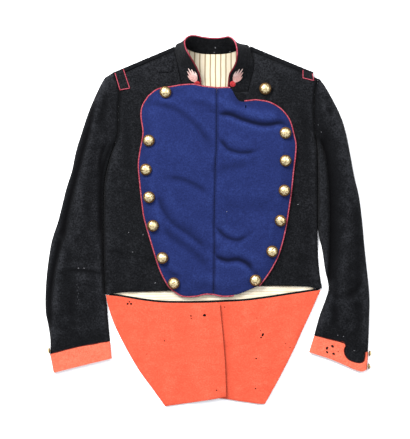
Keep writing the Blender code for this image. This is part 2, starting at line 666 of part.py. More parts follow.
def build_back():
    """The back, flat on the surface and turned forward over the shoulders."""
    half_turn = pi * (SHOULDER_ROLL - WOOL / 2)
    reach = {"right": half_turn + 3.0, "left": half_turn + 4.0}
    steps = np.linspace(0, half_turn, 5)
    levels = {s: list(steps) + [reach[s]] for s in reach}
    flap_ends = {s: [np.array([flap_line(s, past)[k] for past in levels[s]]) for k in (0, -1)]
                 for s in reach}
    sides = {}
    for s, sign in (("right", -1), ("left", 1)):
        line = edge(s + "_side", PLAIN)
        start, last = line[0, 1], CONTACT_ENDS[s] + 44
        under = [p + (sign * (1.5 + 3.5 * ease((start - p[1]) / 26)), 0)
                 for p in line if p[1] > last + 3]
        clear = [p for p in beside(line, -sign * UNDER_INSET)[:-1] if p[1] < last - 3]
        sides[s] = np.array(under + clear)
    waist = np.array([p for p in beside(edge("waist", SEAM), -STRIP_WIDTH / 2)
                      if -203 < p[0] < 210])
    armholes = {}
    for s, inward in (("right", 5), ("left", -5)):
        below = [tuple(p) for p in edge(s + "_armhole", SEAM) if p[1] < 268][:-1]
        x, y = EDGES[s + "_side"][0]
        armholes[s] = np.array([EDGES[s + "_shoulder_fold"][1]] + below + [(x + inward, y + 6)])
    outline = ring(armholes["right"], sides["right"], waist, sides["left"], armholes["left"],
                   flap_ends["left"][1], flap_line("left", reach["left"]), flap_ends["left"][0],
                   edge("back_neck", 16), flap_ends["right"][0],
                   flap_line("right", reach["right"]), flap_ends["right"][1])
    seeds = [p for s in reach for past in steps for p in flap_line(s, past)]
    return cloth("back", outline, level(WOOL), WOOL, "wool", FLAT, seeds=seeds, bend=turned_back)


def build_linings():
    """The striped ticking, where the neck opening and the gap at the waist show it."""
    under = smooth(((-74, 327), (-78, 290), (-66, 230), (-40, 172), (60, 172), (90, 230),
                    (102, 290), (92, 325)), 30)
    neck = beside(edge("back_neck", 20), -1.2)
    neck = np.array([p for p in neck if -72 < p[0] < 88])
    cloth("back_lining", ring(neck, under), level(WOOL + SEAM_GAP + LINING), LINING, "ticking",
          FLAT)
    low = beside(edge("waist", SEAM), SEAM_GAP)
    low = np.array([p for p in low if -187 < p[0] < 207])
    high = smooth(((-185, -118), (0, -116), (205, -108)), 40)
    cloth("waist_lining", ring(low, high), level(WOOL + SEAM_GAP + LINING), LINING, "ticking",
          FLAT)
    strip = edge("waist", SEAM)
    strip[0] += (10, -1)
    strip[-1] -= (10, 1.5)
    cloth("waist_edge", ring(strip, beside(strip, -STRIP_WIDTH)), level(WOOL + SEAM_GAP + 1.6),
          1.6, "wool", FLAT)


def cut_below(line, y):
    """The stretch of a downward line under one y, starting exactly there."""
    k = int(np.argmax(line[:, 1] < y))
    share = (line[k - 1, 1] - y) / (line[k - 1, 1] - line[k, 1])
    return np.vstack([line[k - 1] + share * (line[k] - line[k - 1]), line[k:]])


def build_fronts():
    """The two fronts, which meet under the plastron."""
    for side in ("right", "left"):
        armhole = cut_below(edge(side + "_armhole", SEAM), EDGES[side + "_shoulder_seam"][1][1])
        seam = smooth((EDGES[side + "_shoulder_seam"][0], armhole[0]), PLAIN)
        outline = ring(seam, armhole, edge(side + "_side", PLAIN), edge(side + "_hem", PLAIN),
                       edge(side + "_centre", 34), edge(side + "_neck", 8))
        cloth(side + "_front", outline, front_top, FRONT_WALL, "wool", 24,
              rolled=[side + "_side"])


# ---------------------------------------------------------------- sleeves

def build_sleeves():
    """Each sleeve is a top sleeve rolled to the floor at its edges and a flat under sleeve."""
    for side, sign in (("right", 1), ("left", -1)):
        away = beside(edge(side + "_armhole", SEAM), -sign * SEAM_GAP)
        back = edge(side + "_sleeve_back", SEAM)
        front = edge(side + "_sleeve_front", SEAM)
        tuck_top = np.array([p for p in beside(edge(side + "_cuff_top", 12), 0)
                             if min(gap_between(p, back[-1]), gap_between(p, front[-1])) > 4])
        tuck_end = beside(edge(side + "_cuff_mouth", 12), sign * 3.0)
        tuck_end = np.array([p for p in tuck_end if min(
            distance(p[0], p[1], EDGES[side + "_sleeve_back"][-1:] + EDGES[side + "_cuff_mouth"][:1]),
            distance(p[0], p[1], EDGES[side + "_sleeve_front"][-1:]
                     + EDGES[side + "_cuff_mouth"][-1:])) > TUCK_INSET])
        steps = [np.array([line[-1] + (toward - line[-1]) * TUCK_INSET / gap_between(line[-1], toward)])
                 for line, toward in ((back, front[-1]), (front, back[-1]))]
        head = edge(side + "_sleeve_head", 5)
        outline = ring(away, front[1:], steps[1], tuck_end, steps[0], back, head)
        cloth(side + "_top_sleeve", outline, sleeve_top(side), WOOL, "wool", 18,
              rolled=[side + "_sleeve_" + part for part in ("back", "front", "head")],
              seeds=list(tuck_top[1:-1]) + fold_seeds(side + "_sleeve", 18))
        inner = [beside(edge(side + "_sleeve_" + part, SEAM), by)[1:-1] for part, by in
                 (("back", sign * UNDER_INSET), ("front", -sign * UNDER_INSET))]
        seam = beside(edge(side + "_armhole", SEAM), -sign * 1.5)[1:-2]
        end = beside(edge(side + "_cuff_top", SEAM), sign * 2.5)[1:-1]
        cloth(side + "_under_sleeve", ring(seam, inner[1], end, inner[0]), level(WOOL), WOOL,
              "wool", FLAT)


def cuff_profile(width, inset):
    """Section of a cuff pressed flat, as (across, z) points, `inset` mm inside its outside."""
    half = CUFF_HEIGHT / 2
    r = half - inset
    arc = [radians(a) for a in (-90, -45, 0, 45, 90)]
    right = [(width - half + r * cos(a), half + r * sin(a)) for a in arc]
    left = [(half - r * cos(a), half - r * sin(a)) for a in arc]
    over = [(half + (width - 2 * half) * t, half + r) for t in (0.8, 0.6, 0.4, 0.2)]
    under = [(half + (width - 2 * half) * t, half - r) for t in (0.25, 0.5, 0.75)]
    return right + over + left + under


def build_cuffs():
    """Red cuffs: flattened bands round the sleeve ends, moth-eaten on the left."""
    for side, holes, bite in (("right", (), ()), ("left", CUFF_HOLES, CUFF_BITE)):
        top, mouth = smooth(EDGES[side + "_cuff_top"], 8), smooth(EDGES[side + "_cuff_mouth"], 8)
        bm = bmesh.new()
        walls = []
        for inset in (0, RED_CLOTH):
            rings = []
            for share in (0.012, 0.35, 0.7, 1.0):
                width = gap_between(*[(1 - share) * top[k] + share * mouth[k] for k in (0, -1)])
                points = []
                for across, z in cuff_profile(width, inset):
                    at = [np.array([np.interp(across / width, np.linspace(0, 1, len(line)),
                                              line[:, k]) for k in (0, 1)]) for line in (top, mouth)]
                    x, y = (1 - share) * at[0] + share * at[1]
                    points.append(bm.verts.new((x, y, z)))
                rings.append(points)
            skin(bm, rings)
            walls.append(rings)
        for end in (0, -1):
            skin(bm, [walls[0][end], walls[1][end]])
        cuff = add(side + "_cuff", bm, "red_cloth")
        cuts = [[(h.x + h.radius * cos(a), h.y + h.radius * sin(a))
                 for a in (k * pi / 3 for k in range(6))] for h in holes]
        cuts += [list(bite)] if bite else []
        for number, outline in enumerate(cuts):
            tool = cutter(f"{side}_cuff_cutter_{number}", outline, CUFF_HEIGHT / 2, 2 * CUFF_HEIGHT)
            cut = cuff.modifiers.new("hole", "BOOLEAN")
            cut.operation = "DIFFERENCE"
            cut.solver = "EXACT"
            cut.object = tool


# ---------------------------------------------------------------- collar

def collar_points(share, out):
    """Points along the collar at one share of its height, `out` mm off its middle."""
    line = smooth(np.array(COLLAR, float), COLLAR_SPACING)
    foot, rim = line[:, :3], line[:, 3:]
    at = foot + (rim - foot) * share
    along = np.gradient(at, axis=0)
    rise = rim - foot
    normal = np.cross(along, rise)
    normal /= np.linalg.norm(normal, axis=1)[:, None]
    return at + out * normal


def build_collar():
    """The stand collar, leaning back behind the neck and folded in at its front ends."""
    bm = bmesh.new()
    half = COLLAR_WALL / 2
    shares = [k / COLLAR_ROWS for k in range(COLLAR_ROWS + 1)]
    rows = [collar_points(s, half) for s in shares]
    rows += [collar_points(s, -half) for s in reversed(shares)]
    rings = [[bm.verts.new(row[k]) for row in rows] for k in range(len(rows[0]))]
    skin(bm, rings)
    for end in (rings[0], rings[-1]):
        for k in range(COLLAR_ROWS):
            bm.faces.new((end[k], end[k + 1], end[-k - 2], end[-k - 1]))
    collar = add("collar", bm, "wool")
    rows = np.array(COLLAR, float)
    line = smooth(rows, COLLAR_SPACING)
    rise = line[:, 3:] - line[:, :3]
    rise /= np.linalg.norm(rise, axis=1)[:, None]
    path = line[:, 3:] + (SEAM_GAP + PIPING_RADIUS) * rise
    cord("collar_piping", path, PIPING_RADIUS, "piping")
    return collar


def build_badges(collar):
    """A plain ball with a flame, cut from cloth and laid on each end of the collar."""
    def on_collar(x, y):
        return dropped(zip(x, y), [collar]) + LAYER_GAP + TRIM_WALL

    for badge in BADGES:
        heading = radians(badge.heading)
        ahead, across = (cos(heading), sin(heading)), (sin(heading), -cos(heading))

        def place(u, v):
            return (badge.x + u * across[0] + v * ahead[0], badge.y + u * across[1] + v * ahead[1])

        ball = [place(BALL_RADIUS * cos(a), BALL_RADIUS * sin(a))
                for a in (2 * pi * k / 14 for k in range(14))]
        ball = [(x, max(y, badge.flat_below)) for x, y in ball]
        ball = [p for k, p in enumerate(ball) if gap_between(p, ball[k - 1]) > 0.4]
        flame = [place(-FLAME_ROOT, FLAME_START), place(-8.4, 14.0)]
        for one, two in zip(FLAME, FLAME[1:] + (None,)):
            flame.append(place(one.across, one.tip))
            if two:
                flame.append(place((one.across + two.across) / 2, one.notch))
        flame += [place(8.2, 13.5), place(FLAME_ROOT, FLAME_START)]
        name = badge.side + "_badge_"
        cloth(name + "ball", ring(ball[:8], ball[8:]), on_collar, TRIM_WALL, "piping", 9)
        cloth(name + "flame", ring(flame[:8], flame[8:]), on_collar, TRIM_WALL, "flame", 9)


# ---------------------------------------------------------------- plastron

def build_plastron():
    """The blue plastron in two halves, with its red cord edge."""
    for side, sign in (("right", 1), ("left", -1)):
        centre = beside(edge("plastron_centre", FINE), -sign * SEAM_GAP / 2)
        outline = ring(centre, edge(f"plastron_bottom_{side}", HEM)[:-1],
                       edge(f"plastron_side_{side}", HEM), edge(f"plastron_top_{side}", HEM)[1:])
        cloth("plastron_" + side, outline, plastron_top, PLASTRON_WALL, "blue_cloth", FINE + 1,
              seeds=fold_seeds("plastron", FINE))
    right = joined(edge("plastron_bottom_left", HEM)[4:],
                   edge("plastron_bottom_right", HEM)[::-1],
                   edge("plastron_side_right", HEM)[::-1],
                   edge("plastron_top_right", HEM)[::-1],
                   edge("plastron_top_left", HEM)[:3])
    left = joined(edge("plastron_top_left", HEM)[-3:], edge("plastron_side_left", HEM))
    for name, path in (("right_plastron_piping", right), ("left_plastron_piping", left)):
        offset = beside(path, PIPING_RADIUS + SEAM_GAP)
        z = plastron_top(path[:, 0], path[:, 1]) - PIPING_RADIUS
        cord(name, np.column_stack([offset, z]), PIPING_RADIUS, "piping")


def joined(*lines):
    """Lines put one after another, with a shared end kept once."""
    path = [tuple(p) for p in lines[0]]
    for line in lines[1:]:
        path += [tuple(p) for p in line if gap_between(path[-1], p) > 0.5]
    return np.array(path)


# ---------------------------------------------------------------- tails

def build_tails():
    """Dark tails lined in red; the right one lies over the left at the middle."""
    for side, inner in (("right", "tail_overlap"), ("left", "tail_left_hidden")):
        waist = beside(edge("waist", SEAM), -STRIP_WIDTH - SEAM_GAP)
        low, high = (-197, 20) if side == "right" else (3, 216)
        waist = np.array([p for p in waist if low < p[0] < high])
        outline = ring(waist, edge(f"tail_{side}_edge", 18), edge(f"tail_{side}_bottom", 18),
                       edge(inner, 18)[:-1])
        seeds = []
        lift = level(0)
        if side == "right":
            lift = tail_lift
            seeds = [(np.interp(y, (-346, -250, -164), (11, 6, 2)) + by, y)
                     for y in np.arange(-340, -164, 24) for by in (-36, -24, -12)]

        def dark(x, y, lift=lift):
            return lift(x, y) + WOOL

        def red(x, y, lift=lift):
            return lift(x, y) + WOOL + LAYER_GAP + RED_CLOTH

        cloth("tail_" + side, outline, dark, WOOL, "wool", 40, seeds=seeds)
        cloth("tail_lining_" + side, outline, red, RED_CLOTH, "red_cloth", 40, seeds=seeds,
              holes=TAIL_HOLES[side])


# ---------------------------------------------------------------- small pieces

def build_loops_and_patch():
    """Shoulder loops with their piping, and the small patch by the collar."""
    def on_shoulder(x, y):
        return shoulder_top(x, y) + LAYER_GAP + TRIM_WALL

    for side, corners in LOOPS.items():
        strip = [smooth((a, b), 9) for a, b in zip(corners, corners[1:] + corners[:1])]
        outline = ring(*strip)
        cloth(side + "_shoulder_loop", outline, on_shoulder, TRIM_WALL, "wool", 9)
        path = joined(strip[1], strip[2], strip[3])
        beyond = beside(path, LOOP_PIPING_RADIUS + SEAM_GAP)
        z = shoulder_top(beyond[:, 0], beyond[:, 1]) + LAYER_GAP + LOOP_PIPING_RADIUS
        cord(side + "_loop_piping", np.column_stack([beyond, z]), LOOP_PIPING_RADIUS, "piping")
    patch = [np.array(NECK_PATCH[:4], float), np.array(NECK_PATCH[4:], float)]
    cloth("neck_patch", ring(*patch), on_shoulder, TRIM_WALL, "wool", 10)


def dropped(spots, pieces):
    """Heights where upright lines through plan points first meet the built pieces."""
    depsgraph = bpy.context.evaluated_depsgraph_get()
    trees = [BVHTree.FromObject(piece, depsgraph) for piece in pieces]
    heights = []
    for x, y in spots:
        hits = [tree.ray_cast(Vector((x * MM, y * MM, 0.1)), Vector((0, 0, -1)))[0]
                for tree in trees]
        heights.append(max([hit.z / MM for hit in hits if hit], default=0.0))
    return np.array(heights)


def build_button(button, radius, pieces):
    """A domed button on its shank, turned round its own axis."""
    bm = bmesh.new()
    rings = []
    for out, up in BUTTON_PROFILE[:-1]:
        rings.append([bm.verts.new((radius * out * cos(a), radius * out * sin(a), radius * up))
                      for a in (2 * pi * k / BUTTON_SIDES for k in range(BUTTON_SIDES))])
    skin(bm, rings)
    bm.faces.new(rings[0])
    crown = bm.verts.new((0, 0, radius * BUTTON_PROFILE[-1][1]))
    for k in range(BUTTON_SIDES):
        bm.faces.new((rings[-1][k], rings[-1][(k + 1) % BUTTON_SIDES], crown))
    tilt = Matrix.Rotation(radians(button.tilt_x), 3, "X") @ Matrix.Rotation(
        radians(button.tilt_y), 3, "Y")
    bmesh.ops.rotate(bm, verts=bm.verts, matrix=tilt)
    if abs(button.tilt_y) > 60:
        foot = SEAM_GAP - min(v.co.z for v in bm.verts)
        bmesh.ops.translate(bm, verts=bm.verts, vec=(button.x, button.y, foot))
        return add(button.name, bm, "gilt")
    spots = [(button.x + v.co.x, button.y + v.co.y) for v in bm.verts]
    spots += [(button.x + 0.85 * v.co.x, button.y + 0.85 * v.co.y) for v in bm.verts]
    lows = [v.co.z for v in bm.verts] * 2
    foot = np.max(dropped(spots, pieces) - lows) + LAYER_GAP
    bmesh.ops.translate(bm, verts=bm.verts, vec=(button.x, button.y, foot))
    return add(button.name, bm, "gilt")


def build():
    for thing in list(bpy.data.objects):
        bpy.data.objects.remove(thing)
    build_back()
    build_linings()
    build_fronts()
    build_sleeves()
    build_cuffs()
    build_badges(build_collar())
    build_plastron()
    build_tails()
    build_loops_and_patch()
    cloths = [bpy.data.objects[name] for name in (
        "plastron_right", "plastron_left", "right_front", "left_front", "right_cuff",
        "left_cuff", "right_top_sleeve", "left_top_sleeve")]
    for button in BUTTONS:
        build_button(button, BUTTON_RADIUS, cloths)
    for button in CUFF_BUTTONS:
        build_button(button, CUFF_BUTTON_RADIUS, cloths)


build()
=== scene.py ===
# %% [markdown]
# # An old firefighter's dress coat, laid flat
# The coat is black wool with a blue plastron, a red cord edge, domed gilt buttons and tails
# lined in red. It lies on its back on a white table and is seen from straight above. The
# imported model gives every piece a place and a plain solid. This lesson replaces those solids
# with finer cloth, which has its small folds, rolled edges and holes, and gives each cloth and
# metal its own finish.

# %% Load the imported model
from collections import namedtuple
from math import ceil, cos, pi, radians, sin

import bmesh
import bpy
import numpy as np
from mathutils import Matrix, Vector
from mathutils.bvhtree import BVHTree
from mathutils.geometry import delaunay_2d_cdt


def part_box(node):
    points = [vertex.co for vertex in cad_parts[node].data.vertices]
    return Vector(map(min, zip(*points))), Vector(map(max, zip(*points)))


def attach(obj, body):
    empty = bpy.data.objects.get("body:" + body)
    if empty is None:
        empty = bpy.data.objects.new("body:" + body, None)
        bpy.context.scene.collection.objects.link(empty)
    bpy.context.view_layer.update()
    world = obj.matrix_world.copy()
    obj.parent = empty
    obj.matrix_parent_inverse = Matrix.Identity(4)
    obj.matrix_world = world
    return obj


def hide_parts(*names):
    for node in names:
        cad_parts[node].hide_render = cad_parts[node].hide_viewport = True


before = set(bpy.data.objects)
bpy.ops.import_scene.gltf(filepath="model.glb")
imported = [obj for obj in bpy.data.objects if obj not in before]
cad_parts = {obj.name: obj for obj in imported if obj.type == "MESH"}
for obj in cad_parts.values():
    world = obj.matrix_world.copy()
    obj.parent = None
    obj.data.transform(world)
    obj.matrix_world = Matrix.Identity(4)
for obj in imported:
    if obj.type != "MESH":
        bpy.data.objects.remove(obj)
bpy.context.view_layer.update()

# %% [markdown]
# ## Camera, light and table first
# The photograph looks straight down from far away, so the camera is a long lens above the
# coat. The frame of the picture is 410 by 439 pixels, and a coat button of 22.8 mm is 11.7
# pixels wide in it, which makes a pixel 1.95 mm. The table is lit until it is white, and one
# large soft light at the upper left gives the folds their shading.

# %% Camera
PIXEL = 0.00195           # metres on the coat for a pixel of the picture
LENS = 150.0              # mm
SENSOR = 36.0             # mm, along the picture's long side
PICTURE_HEIGHT = 439      # pixels
camera_data = bpy.data.cameras.new("camera")
camera_data.lens = LENS
camera_data.sensor_width = SENSOR
camera = bpy.data.objects.new("camera", camera_data)
camera_height = PICTURE_HEIGHT * PIXEL * LENS / SENSOR
camera.location = (-0.0072, 0.0009, camera_height)
bpy.context.scene.collection.objects.link(camera)
bpy.context.scene.camera = camera
print("camera height in metres:", round(camera_height, 3))

# %% [markdown]
# ## Finishes
# Blender's shaders take linear colours, while a colour given here is an sRGB hex value, so
# one function turns the one into the other. A second one adds a node with its settings and
# links, so that each material below reads as a short list of steps.

# %% Two helpers for materials
def srgb(code, alpha=1.0):
    """An sRGB hex colour as linear red, green, blue and alpha."""
    parts = [int(code[k:k + 2], 16) / 255 for k in (1, 3, 5)]
    return tuple(c / 12.92 if c <= 0.04045 else ((c + 0.055) / 1.055) ** 2.4
                 for c in parts) + (alpha,)


def node(tree, kind, inputs=(), **settings):
    """Adds a node. Its inputs are (socket, value or another node's output) pairs."""
    made = tree.nodes.new(kind)
    for key, value in settings.items():
        setattr(made, key, value)
    for socket, value in inputs:
        if isinstance(value, bpy.types.NodeSocket):
            tree.links.new(value, made.inputs[socket])
        else:
            made.inputs[socket].default_value = value
    return made


def new_material(name):
    """An empty material with its shader: returns the material, its tree and the shader."""
    made = bpy.data.materials.new(name)
    made.use_nodes = True
    return made, made.node_tree, made.node_tree.nodes["Principled BSDF"]


# %% [markdown]
# ## Table and light
# The white table keeps a trace of grey noise, so that it isn't a flat colour. It is lit by two
# large area lights: the main one at the upper left and a weak one at the right. The sky is an
# even white that fills the shadows.

# %% Table
TABLE_SIZE = 6.0
table_mesh = bpy.data.meshes.new("table")
half = TABLE_SIZE / 2
table_mesh.from_pydata([(-half, -half, 0), (half, -half, 0), (half, half, 0), (-half, half, 0)],
                       [], [(0, 1, 2, 3)])
table = bpy.data.objects.new("table", table_mesh)
table.location.z = -0.0006
bpy.context.scene.collection.objects.link(table)
painted_table, tree, shader = new_material("white_painted_board")
spot = node(tree, "ShaderNodeTexCoord")
speckle = node(tree, "ShaderNodeTexNoise", [("Vector", spot.outputs["Object"]), ("Scale", 60.0)])
shade = node(tree, "ShaderNodeMix", [("Factor", speckle.outputs["Fac"]),
                                     (6, srgb("#fbfbfb")), (7, srgb("#ffffff"))], data_type="RGBA")
tree.links.new(shade.outputs[2], shader.inputs["Base Color"])
shader.inputs["Roughness"].default_value = 0.9
table_mesh.materials.append(painted_table)

# %% Lights
Light = namedtuple("Light", "name place size power")
LIGHTS = (
    Light("main_light", (-1.35, 1.75, 1.85), 1.1, 168.0),
    Light("side_light", (1.6, 1.2, 2.4), 1.6, 45.0),
)
for light in LIGHTS:
    data = bpy.data.lights.new(light.name, "AREA")
    data.size = light.size
    data.energy = light.power
    lamp = bpy.data.objects.new(light.name, data)
    lamp.location = light.place
    lamp.rotation_euler = Vector(light.place).to_track_quat("Z", "Y").to_euler()
    bpy.context.scene.collection.objects.link(lamp)
sky = bpy.data.worlds.new("sky")
sky.use_nodes = True
sky.node_tree.nodes["Background"].inputs["Color"].default_value = srgb("#f6f8ff")
sky.node_tree.nodes["Background"].inputs["Strength"].default_value = 1.0
bpy.context.scene.world = sky
bpy.context.scene.view_settings.view_transform = "Standard"

# %% [markdown]
# ## The pattern pieces
# A tailor draws each piece on paper before cutting it. The tables below do the same: each row
# is a seam or an edge, as a smooth line through a few points, in millimetres. x runs to the
# wearer's left and y towards the collar. Neighbouring pieces share a line, so they meet.

# %% Seams and edges
MM = 0.001
EDGES = {
    "right_shoulder_fold": ((-64.5, 333.5), (-185.4, 282.6)),
    "left_shoulder_fold": ((79, 334.4), (203, 283.2)),
    "right_shoulder_seam": ((-66, 329.1), (-184.5, 278.4)),
    "left_shoulder_seam": ((84, 327), (212, 274.4)),
    "right_armhole": ((-185.4, 286.6), (-174, 259), (-176, 211), (-177, 170), (-183, 147)),
    "left_armhole": ((214, 276), (207, 254), (205, 224), (206, 183), (209, 160)),
    "right_side": ((-183, 147), (-192, 121), (-200, 90), (-203.5, 60), (-204.5, 0),
                   (-204, -68), (-201.5, -144)),
    "left_side": ((209, 160), (211, 129), (212, 60), (212, 0), (212.5, -40), (214, -80),
                  (217.5, -112), (221.3, -133)),
    "right_hem": ((-201.5, -144), (-186, -143.5), (-160, -140.5), (-134, -140), (-69, -138),
                  (-2, -138)),
    "left_hem": ((2, -138), (98, -129), (186, -129.5), (206, -133), (221.3, -133)),
    "right_centre": ((-2, -138), (-3, 120), (-10, 190), (-40, 244)),
    "left_centre": ((2, -138), (3, 120), (18, 190), (34, 222), (46, 248.3)),
    "right_neck": ((-51.3, 245), (-53, 258), (-55.2, 273), (-58.6, 289), (-61.8, 305),
                   (-64.4, 319), (-66, 329.1)),
    "left_neck": ((77, 249), (79.2, 259), (82.3, 272), (85.8, 284), (88.8, 297),
                  (88.3, 309.5), (84.7, 321), (84, 327)),
    "back_neck": ((-64.5, 333.5), (-58, 337), (-49, 337.4), (-38, 332), (-24, 327), (-8, 324.3),
                  (9, 323.8), (26, 324.3), (42, 327), (57, 332.2), (66, 336.6), (73, 337),
                  (79, 334.4)),
    "right_sleeve_head": ((-186.4, 287.4), (-202, 278)),
    "left_sleeve_head": ((214.6, 276.6), (218, 273)),
    "right_sleeve_back": ((-202, 278), (-213, 259), (-232, 216), (-248, 169), (-259, 133),
                          (-267, 95), (-278, 60), (-293, 0), (-306, -41), (-314, -90),
                          (-318, -137), (-318, -178), (-313, -205), (-309, -232), (-309, -261)),
    "left_sleeve_back": ((218, 273), (231, 254), (254, 210), (266.5, 174), (276, 128),
                         (283.5, 87), (293, 46), (299, 0), (304, -55), (313, -142), (313, -191),
                         (311.5, -235), (310.5, -257)),
    "right_sleeve_front": ((-184.4, 145), (-193.3, 121), (-201.3, 90), (-204.8, 60),
                           (-205.8, 0), (-205.3, -68), (-203.2, -130), (-200.6, -150),
                           (-197.8, -172), (-196, -195), (-192, -236)),
    "left_sleeve_front": ((210.4, 157.5), (212.4, 129), (213.4, 60), (213.4, 0), (214.4, -30),
                          (221, -58), (227, -98), (233.6, -130), (228.5, -153), (216, -187),
                          (205.5, -225)),
    "right_cuff_top": ((-309, -261), (-254, -247), (-192, -236)),
    "right_cuff_mouth": ((-302, -297.5), (-251, -284.5), (-189, -269.5)),
    "left_cuff_top": ((310.5, -257), (257, -238), (205.5, -225)),
    "left_cuff_mouth": ((308.5, -290.5), (298, -295), (281, -290), (265, -282.5), (232, -269),
                        (195.5, -257.5)),
    "waist": ((-201, -142.5), (-173, -145.5), (-135, -152), (-94, -157), (-53, -158),
              (-7, -157.5), (31, -156), (69, -154), (110, -149), (156, -142), (219, -132.5)),
    "plastron_top_right": ((15.7, 255.5), (-10, 258.5), (-29, 262), (-52, 261), (-70, 258),
                           (-98, 253), (-116, 240)),
    "plastron_side_right": ((-116, 240), (-127, 222), (-130, 202), (-126, 169), (-132, 133),
                            (-135, 106), (-132, 68), (-127, 24), (-123, 0), (-104, -65),
                            (-93, -98), (-79, -125), (-68, -137)),
    "plastron_bottom_right": ((-68, -137), (-50, -147), (-26, -147), (-7, -143), (9.7, -143.5)),
    "plastron_top_left": ((16, 255.5), (38, 256), (45, 253), (52, 240), (60, 231), (72, 230),
                          (91, 232)),
    "plastron_side_left": ((91, 232), (116, 228), (138, 216), (153, 199), (160, 183),
                           (164, 166), (168, 148), (167, 125), (164, 101), (159, 54),
                           (151, 0), (144, -36), (133, -71), (117, -101), (97, -128)),
    "plastron_bottom_left": ((97, -128), (64, -142), (47, -146), (28, -147), (10, -143.5)),
    "plastron_centre": ((15.7, 255.5), (15.6, 156), (13, 101), (11, 0), (11, -64),
                        (9.7, -143.5)),
    "tail_right_edge": ((-200, -146), (-197, -163), (-185.5, -199), (-166, -240), (-138, -289),
                        (-108.5, -330), (-84.5, -363)),
    "tail_right_bottom": ((-84.5, -363), (-36, -356), (11, -348.5), (34, -344)),
    "tail_overlap": ((34, -344), (32, -286), (28, -232), (24, -191), (21, -160)),
    "tail_left_edge": ((218, -136), (201.5, -174), (183.5, -213), (164, -256),
                       (136, -311), (109.5, -358.5)),
    "tail_left_bottom": ((109.5, -358.5), (96, -358), (60, -353), (35, -349), (11, -347)),
    "tail_left_hidden": ((11, -347), (6, -250), (2, -160)),
}
PLASTRON_PARTS = ("top_right", "side_right", "bottom_right", "bottom_left", "side_left",
                  "top_left")
print("seams and edges:", len(EDGES))
